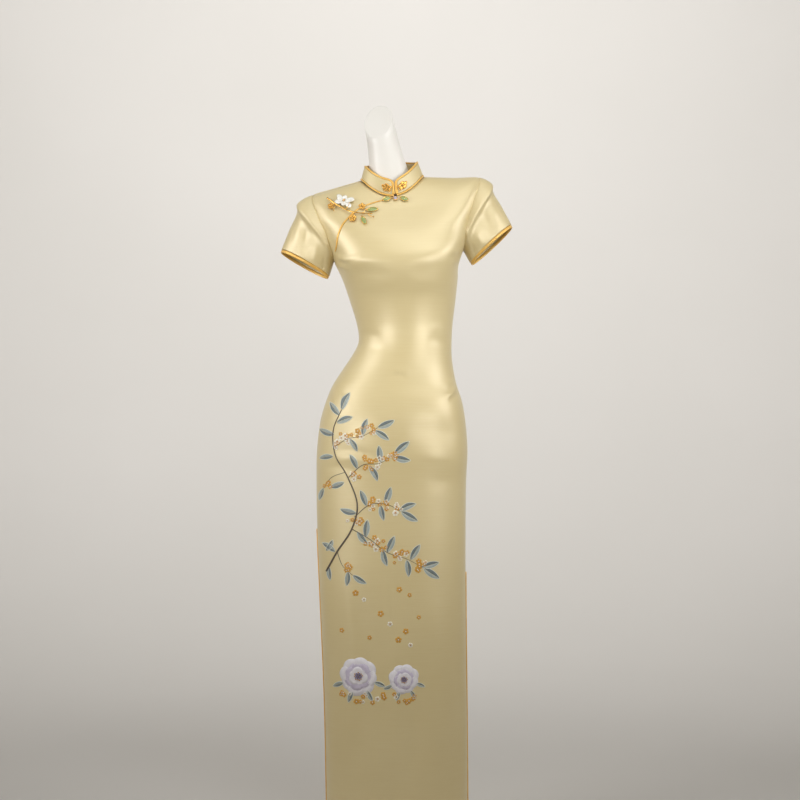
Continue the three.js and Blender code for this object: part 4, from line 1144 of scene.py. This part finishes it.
def round_line(radius, count):
    angle = np.linspace(0, 2 * math.pi, count, endpoint=False)
    return np.stack([radius * np.cos(angle), radius * np.sin(angle)], 1)


def bead_blossom(radius):
    """Five round petals, each a cushioned disc with a ring of beads, about a beaded heart."""
    parts = []
    for k in range(5):
        angle = 2 * math.pi * k / 5
        x, y = 0.56 * radius * math.sin(angle), 0.56 * radius * math.cos(angle)
        petal = 0.36 * radius
        parts.append(moved(dome(round_line(petal, 18), 0, 1.0, 0.6), x, y))
        for j in range(9):
            turn = angle + math.pi * (j - 4) / 5.2
            parts.append(bead(x + petal * 0.86 * math.sin(turn), y + petal * 0.86 * math.cos(turn),
                              1.2, 0.115 * radius))
    parts.append(bead(0, 0, 1.8, 0.2 * radius, 10, 7))
    parts += [bead(x, y, 1.5, 0.08 * radius) for x, y in round_line(0.28 * radius, 8)]
    return parts


def leaf_line(length, width, count=28):
    turn = np.linspace(0, 2 * math.pi, count, endpoint=False)
    pointed = 1 - 0.45 * np.cos(turn) ** 4
    return np.stack([length / 2 * np.cos(turn), width / 2 * np.sin(turn) * pointed], 1)


def enamel_leaf(node, x, z, length, width, turn, out):
    """An enamelled leaf in a gilt rim with a gilt rib along it."""
    field = [moved(dome(leaf_line(length - 1.6, width - 1.6), 0, 1.4, 0.8), x, z, turn, out)]
    joined(node + "_enamel", front_spot, field, JADE)
    rib = np.stack([np.linspace(-length * 0.5, length * 0.4, 14), np.zeros(14)], 1)
    rim = [wire(leaf_line(length - 0.8, width - 0.8, 40), 1.1, 0.7, closed=True),
           wire(rib, 2.1, np.linspace(0.55, 0.25, 14))]
    joined(node + "_rim", front_spot, [moved(part, x, z, turn, out) for part in rim], GILT, [node])


CLASP_OUT = 2.4
for node, along in (("clasp_blossom_right", -14), ("clasp_blossom_left", 14)):
    blossom = [moved(part, along, 13 + COLLAR_FOOT, out=0.9) for part in bead_blossom(10)]
    joined(node + "_cast", collar_spot, blossom, GILT, [node])
for node, x, turn in (("clasp_leaf_right", -21, 200), ("clasp_leaf_left", 16, -20)):
    enamel_leaf(node, x, 1402, 20, 10, turn, CLASP_OUT)

girdle, table = round_line(1.0, 8), round_line(2.4, 8) @ np.array([[0.92, 0.39], [-0.39, 0.92]])
cut = capped([np.column_stack([girdle * 4.0, np.full(8, 0.6)]), np.column_stack([girdle * 4.2, np.full(8, 1.6)]),
              np.column_stack([table, np.full(8, 3.6)])])
stone = joined("clasp_stone_cut", front_spot, [moved(cut, -3, 1403, 0, CLASP_OUT)],
               lead_crystal(), ["clasp_stone"])
stone.data.polygons.foreach_set("use_smooth", [False] * len(stone.data.polygons))
setting = [wire(round_line(4.3, 32), 1.0, 0.8, closed=True)]
setting += [bead(x, y, 1.9, 0.7) for x, y in round_line(4.1, 4) @ np.array([[0.92, 0.39], [-0.39, 0.92]])]
joined("clasp_stone_setting", front_spot, [moved(part, -3, 1403, 0, CLASP_OUT) for part in setting],
       GILT)

# ------------------------------------------------------------------ the brooch
# A white enamelled magnolia on a gilt twig, with small gilt blossoms and two jade leaves,
# pinned under the shoulder on the lapel side.

BROOCH_OUT = 2.2
TWIG = [(-149, 1404), (-128, 1388), (-104, 1374), (-80, 1368), (-52, 1366)]
TWIG_SHOOTS = [(14, -6, -13), (26, 9, 15), (37, -4, -12), (46, 10, 9), (54, 12, -8)]
WHITE_ENAMEL = enamel("enamel_white", "#E9E6DC", "#F7F5EE")


def through(points, count):
    """Evenly spread places on a smooth line through points."""
    points = np.asarray(points, float)
    run = np.concatenate([[0], np.cumsum(np.hypot(*np.diff(points, axis=0).T))])
    at = np.linspace(0, run[-1], count)
    return np.stack([follow(run, points[:, 0], at), follow(run, points[:, 1], at)], 1)


def magnolia_petal(length, width, tilt):
    """A cupped petal that lifts off towards its tip."""
    turn = np.linspace(0, 2 * math.pi, 28, endpoint=False)
    x = length * (0.5 + 0.5 * np.cos(turn))
    y = width / 2 * np.sin(turn) * (0.63 + 0.52 * x / length)
    rings = []
    for share, lift in ((1.0, 0.0), (1.0, 0.7), (0.85, 1.1), (0.55, 0.9), (0.2, 0.5)):
        a = length * 0.5 + (x - length * 0.5) * share
        cup = tilt * (a / length) ** 2 + 0.35 * (np.abs(y) * share / width * 2) ** 2
        rings.append(np.stack([a, y * share, lift + cup], 1))
    return capped(rings)


twig_line = through(TWIG, 60)
twig = [wire(twig_line, 1.9, np.linspace(1.9, 1.0, 60))]
for start, across, up in TWIG_SHOOTS:
    root = twig_line[start]
    tip = root + (across, up)
    bend = (root + tip) / 2 + np.array([up, -across]) * 0.12
    twig += [wire(through([root, bend, tip], 10), 1.7, np.linspace(0.9, 0.5, 10), 6), bead(*tip, 2.0, 1.5)]
joined("brooch_twig_cast", front_spot, [moved(part, 0, 0, 0, BROOCH_OUT) for part in twig],
       GILT, ["brooch_twig"])
for node, x, z, radius in (("brooch_blossom_outer", -141, 1386, 7.5), ("brooch_blossom_middle", -94, 1357, 9),
                           ("brooch_blossom_inner", -74, 1384, 8)):
    joined(node + "_cast", front_spot, [moved(part, x, z, 0, BROOCH_OUT + 0.6) for part in bead_blossom(radius)],
           GILT, [node])
enamel_leaf("brooch_leaf_long", -52, 1377, 26, 10, 6, BROOCH_OUT)
enamel_leaf("brooch_leaf_low", -70, 1352, 21, 10, -62, BROOCH_OUT)

PETALS = [  # turn, length, width, height, tilt
    (155, 21, 11, 0.4, 0.8), (205, 20, 11, 0.4, 0.8), (28, 22, 11, 0.6, 0.9), (-28, 21, 11, 0.6, 0.9),
    (95, 12, 11, 0.9, 1.2), (-85, 12, 10, 0.9, 1.2), (180, 15, 9, 1.6, 1.6), (10, 16, 9, 1.8, 1.6),
]
bloom = [moved(magnolia_petal(length, width, tilt), 0, 0, turn, out) for turn, length, width, out, tilt in PETALS]
joined("brooch_bloom_petals", front_spot, [moved(part, -113, 1397, -18, BROOCH_OUT) for part in bloom],
       WHITE_ENAMEL, ["brooch_bloom"])
heart = [bead(x, y, 4.0, 0.8) for x, y in round_line(2.4, 7)] + [bead(0, 0, 4.3, 1.3)]
joined("brooch_bloom_heart", front_spot, [moved(part, -113, 1397, -18, BROOCH_OUT) for part in heart],
       GILT)

# ------------------------------------------------------------------ the embroidery
# Silk floss in satin stitch, split stitch and knots on the front of the skirt: a plum branch
# with small blossoms and slim leaves, loose blossoms below it, and two peonies at its foot.

random.seed(20)
STITCH = 0.12


def floss(name, low, high):
    """Untwisted silk floss: soft, with a low sheen, its tone drifting a little along a thread."""
    made, tree, output = new_material("silk_floss_" + name)
    coords = add_node(tree, "ShaderNodeTexCoord")
    drift = add_node(tree, "ShaderNodeTexNoise", values={"Scale": 130.0, "Detail": 2.0},
                     links={"Vector": coords.outputs["Object"]})
    # A floss thread is 0.1 mm thick, drawn at 0.5 mm so that it shows.
    thread = add_node(tree, "ShaderNodeTexNoise", values={"Scale": 2000.0, "Detail": 1.0},
                      links={"Vector": coords.outputs["Object"]})
    tone = add_node(tree, "ShaderNodeMix", {"data_type": "RGBA"},
                    {6: linear(low), 7: linear(high)}, {0: drift.outputs[0]})
    bump = add_node(tree, "ShaderNodeBump", values={"Strength": 0.3, "Distance": 0.0002},
                    links={"Height": thread.outputs[0]})
    shader = add_node(tree, "ShaderNodeBsdfPrincipled",
                      values={"Roughness": 0.5, "IOR": 1.54, "Sheen Weight": 0.3, "Sheen Roughness": 0.4},
                      links={"Base Color": tone.outputs[2], "Normal": bump.outputs[0]})
    tree.links.new(shader.outputs[0], output.inputs[0])
    return made


def stitched(edge_a, edge_b, height, low=-0.3):
    """A patch of satin stitches from one edge to the other, each stitch a low ridge of its own."""
    edge_a, edge_b = np.asarray(edge_a, float), np.asarray(edge_b, float)
    ridge = STITCH * np.where(np.arange(len(edge_a)) % 2, 1, -1)
    rows = []
    for share, lift in ((0.0, 0.15), (0.3, 0.9), (0.7, 0.9), (1.0, 0.15)):
        place = edge_a + (edge_b - edge_a) * share
        rows.append(np.column_stack([place, height * lift + ridge * (lift > 0.5)]))
    for share in (1.0, 0.0):
        rows.append(np.column_stack([edge_a + (edge_b - edge_a) * share, np.full(len(edge_a), low)]))
    return capped(np.stack(rows, 1))


def leaf_halves(length, width, bend=0.0, stitches=18):
    """The two halves of an embroidered leaf, its stem end at the origin, and its pale rim."""
    share = np.linspace(0.02, 1, stitches)
    along = length * share
    rib = np.stack([along, bend * np.sin(math.pi * share)], 1)
    half = width / 2 * np.sin(math.pi * share ** 0.8) ** 0.8
    slant = 0.12 * length * np.sin(math.pi * share)
    halves = []
    for side in (1, -1):
        edge = rib + np.stack([slant * 0.6, side * half], 1)
        halves.append(stitched(rib + np.array([0, side * 0.25]), edge, 0.7))
    rim = np.concatenate([rib + np.stack([slant * 0.6, half], 1), (rib + np.stack([slant * 0.6, -half], 1))[::-1]])
    return halves, wire(rim, 0.3, 0.6, 5)


def blossom_petal(radius, spread=62, stitches=9):
    """One petal of a blossom at the origin, its stitches running out from the heart."""
    swing = np.radians(np.linspace(-spread / 2, spread / 2, stitches))
    full = radius * (0.86 + 0.14 * np.cos(swing * 180 / spread))
    inner = np.stack([0.2 * radius * np.cos(swing * 0.7), 0.2 * radius * np.sin(swing * 0.7)], 1)
    outer = np.stack([full * np.cos(swing), full * np.sin(swing)], 1)
    return stitched(inner, outer, 0.75)


def add_blossom(threads, x, z, radius, colour, petals=5):
    turn = random.uniform(0, 72)
    for k in range(petals):
        threads[colour].append(moved(blossom_petal(radius), x, z, turn + 360 / petals * k))
    threads["ochre" if colour == "cream" else "cream"].append(bead(x, z, 0.8, 0.22 * radius, 6, 3))
    for k in range(petals):
        angle = math.radians(turn + 36 + 72 * k)
        threads["ochre"].append(bead(x + 0.38 * radius * math.cos(angle), z + 0.38 * radius * math.sin(angle),
                                     0.7, 0.09 * radius, 6, 3))


def add_leaf(threads, x, z, length, turn, width=None):
    halves, rim = leaf_halves(length, width or length * 0.36, random.uniform(-0.06, 0.06) * length)
    for thread, half in zip(("slate", "mist"), halves):
        threads[thread].append(moved(half, x, z, turn))
    threads["frost"].append(moved(rim, x, z, turn))


def add_stem(threads, points, thick, thin):
    line = through(points, max(12, 5 * len(points)))
    threads["bark"].append(wire(line, 0.25, np.linspace(thick, thin, len(line)), 6))
    return line


THREADS = {
    "slate": ("#5F6A6C", "#808B8B"), "mist": ("#8C9797", "#B2BAB4"), "frost": ("#D0D3C8", "#E8E8DC"),
    "amber": ("#C4892B", "#E6B24A"), "ochre": ("#A9712A", "#CF9A45"), "cream": ("#E9E2CE", "#F8F4E8"),
    "bark": ("#4A4038", "#6B5C4C"), "lilac": ("#B9AFC6", "#D6CEDD"), "pearl": ("#D9D4DC", "#F0EDF0"),
    "violet": ("#6F5F8E", "#8F80AC"),
}
BRANCHES = [  # the trunk first, then its side shoots: thickness at the start and end, then places
    (2.1, 0.9, [(-152, 596), (-128, 640), (-96, 690), (-84, 742), (-104, 800), (-132, 850), (-136, 902), (-118, 946)]),
    (0.9, 0.4, [(-90, 716), (-58, 742), (-22, 744), (10, 728)]),
    (0.9, 0.4, [(-104, 800), (-72, 828), (-36, 832), (-4, 852)]),
    (0.9, 0.4, [(-96, 690), (-60, 670), (-20, 640), (22, 626), (58, 606)]),
    (0.8, 0.4, [(-134, 866), (-104, 884), (-72, 890), (-40, 908)]),
    (0.8, 0.4, [(-128, 640), (-116, 610), (-94, 590)]),
    (0.7, 0.4, [(-110, 812), (-140, 800), (-158, 776)]),
]
CLUSTERS = [  # x, z, reach across, blossoms
    (-96, 888, 26, 12), (-58, 900, 22, 9), (-52, 832, 28, 14), (-16, 844, 20, 9), (-96, 800, 18, 7),
    (-44, 744, 26, 12), (-4, 734, 18, 8), (-92, 706, 20, 9), (-42, 658, 26, 11), (8, 630, 24, 11),
    (48, 610, 20, 8), (-112, 606, 16, 7), (-132, 870, 14, 6), (-150, 784, 10, 4),
]
LEAVES = [  # x, z, length, turn
    (-118, 946, 34, 64), (-122, 934, 30, 128), (-128, 918, 30, 20), (-134, 892, 30, 160), (-40, 908, 32, 24),
    (-46, 902, 30, -34), (-72, 892, 30, 74), (-100, 884, 26, -60), (-4, 852, 34, 40), (-8, 846, 32, -12),
    (-34, 834, 30, 96), (-58, 826, 30, -62), (-84, 820, 28, 118), (10, 728, 34, -30), (6, 730, 32, 22),
    (-24, 744, 32, 72), (-34, 742, 28, -78), (-64, 740, 30, 112), (-86, 724, 30, 166), (58, 606, 34, -34),
    (54, 608, 32, 14), (30, 624, 32, 58), (22, 624, 30, -84), (-20, 640, 32, 66), (-30, 646, 30, -74),
    (-66, 672, 32, 84), (-84, 684, 28, -50), (-152, 640, 24, 60), (-94, 590, 28, -30), (-104, 598, 26, -96),
    (-158, 776, 24, -110), (-112, 790, 28, 200), (-136, 846, 26, 190), (-132, 640, 28, 150), (-146, 606, 24, -84),
]
LOOSE = [  # x, z, radius, thread
    (-88, 552, 5.5, "amber"), (-70, 538, 4.0, "cream"), (6, 560, 5.0, "amber"), (28, 548, 3.8, "amber"),
    (-34, 508, 5.5, "amber"), (-14, 486, 4.6, "cream"), (20, 470, 5.2, "amber"), (4, 452, 5.5, "amber"),
    (30, 440, 4.2, "cream"), (-58, 456, 4.0, "amber"), (-118, 470, 4.4, "amber"), (48, 500, 3.8, "amber"),
]
PEONIES = [  # x, z, radius
    (-82, 372, 42), (16, 366, 33),
]


def add_peony(threads, x, z, radius):
    """Three rounds of broad petals that overlap, over a heart of knots."""
    for petals, reach, thread, lift, spread in ((8, 1.0, "pearl", 0.0, 60), (7, 0.74, "lilac", 0.5, 66),
                                                (6, 0.5, "pearl", 1.0, 74)):
        start = random.uniform(0, 40)
        for k in range(petals):
            turn = start + 360 * k / petals
            size = radius * reach * random.uniform(0.92, 1.04)
            threads[thread].append(moved(blossom_petal(size, spread, 21), x, z, turn, lift + 0.25 * (k % 2)))
    for k in range(24):
        angle, away = 2.4 * k, 0.045 * radius * math.sqrt(k)
        threads["violet" if k < 15 else "ochre"].append(
            bead(x + away * math.cos(angle), z + away * math.sin(angle), 2.4, 0.035 * radius, 6, 3))
    for turn in (205, 250, 300, 340):
        angle = math.radians(turn)
        add_leaf(threads, x + 0.85 * radius * math.cos(angle), z + 0.85 * radius * math.sin(angle),
                 0.62 * radius, turn, 0.24 * radius)


threads = {name: [] for name in THREADS}
for thick, thin, points in BRANCHES:
    add_stem(threads, points, thick, thin)
for x, z, length, turn in LEAVES:
    add_leaf(threads, x, z, 1.22 * length, turn)
for x, z, reach, blossoms in CLUSTERS:
    for k in range(blossoms):
        angle, away = random.uniform(0, 6.28), reach * math.sqrt(random.random())
        colour = "cream" if random.random() < 0.38 else "amber"
        add_blossom(threads, x + away * math.cos(angle), z + 0.6 * away * math.sin(angle),
                    random.uniform(4.0, 6.8), colour)
for x, z, radius, colour in LOOSE:
    add_blossom(threads, x, z, 1.3 * radius, colour)
for peony in PEONIES:
    add_peony(threads, *peony)
for k in range(26):
    add_blossom(threads, random.uniform(-128, 52), random.uniform(314, 336), random.uniform(4.2, 6.4),
                "cream" if k % 4 == 0 else "amber")
for name, parts in threads.items():
    joined("embroidery_" + name, front_spot, parts, floss(name, *THREADS[name]))
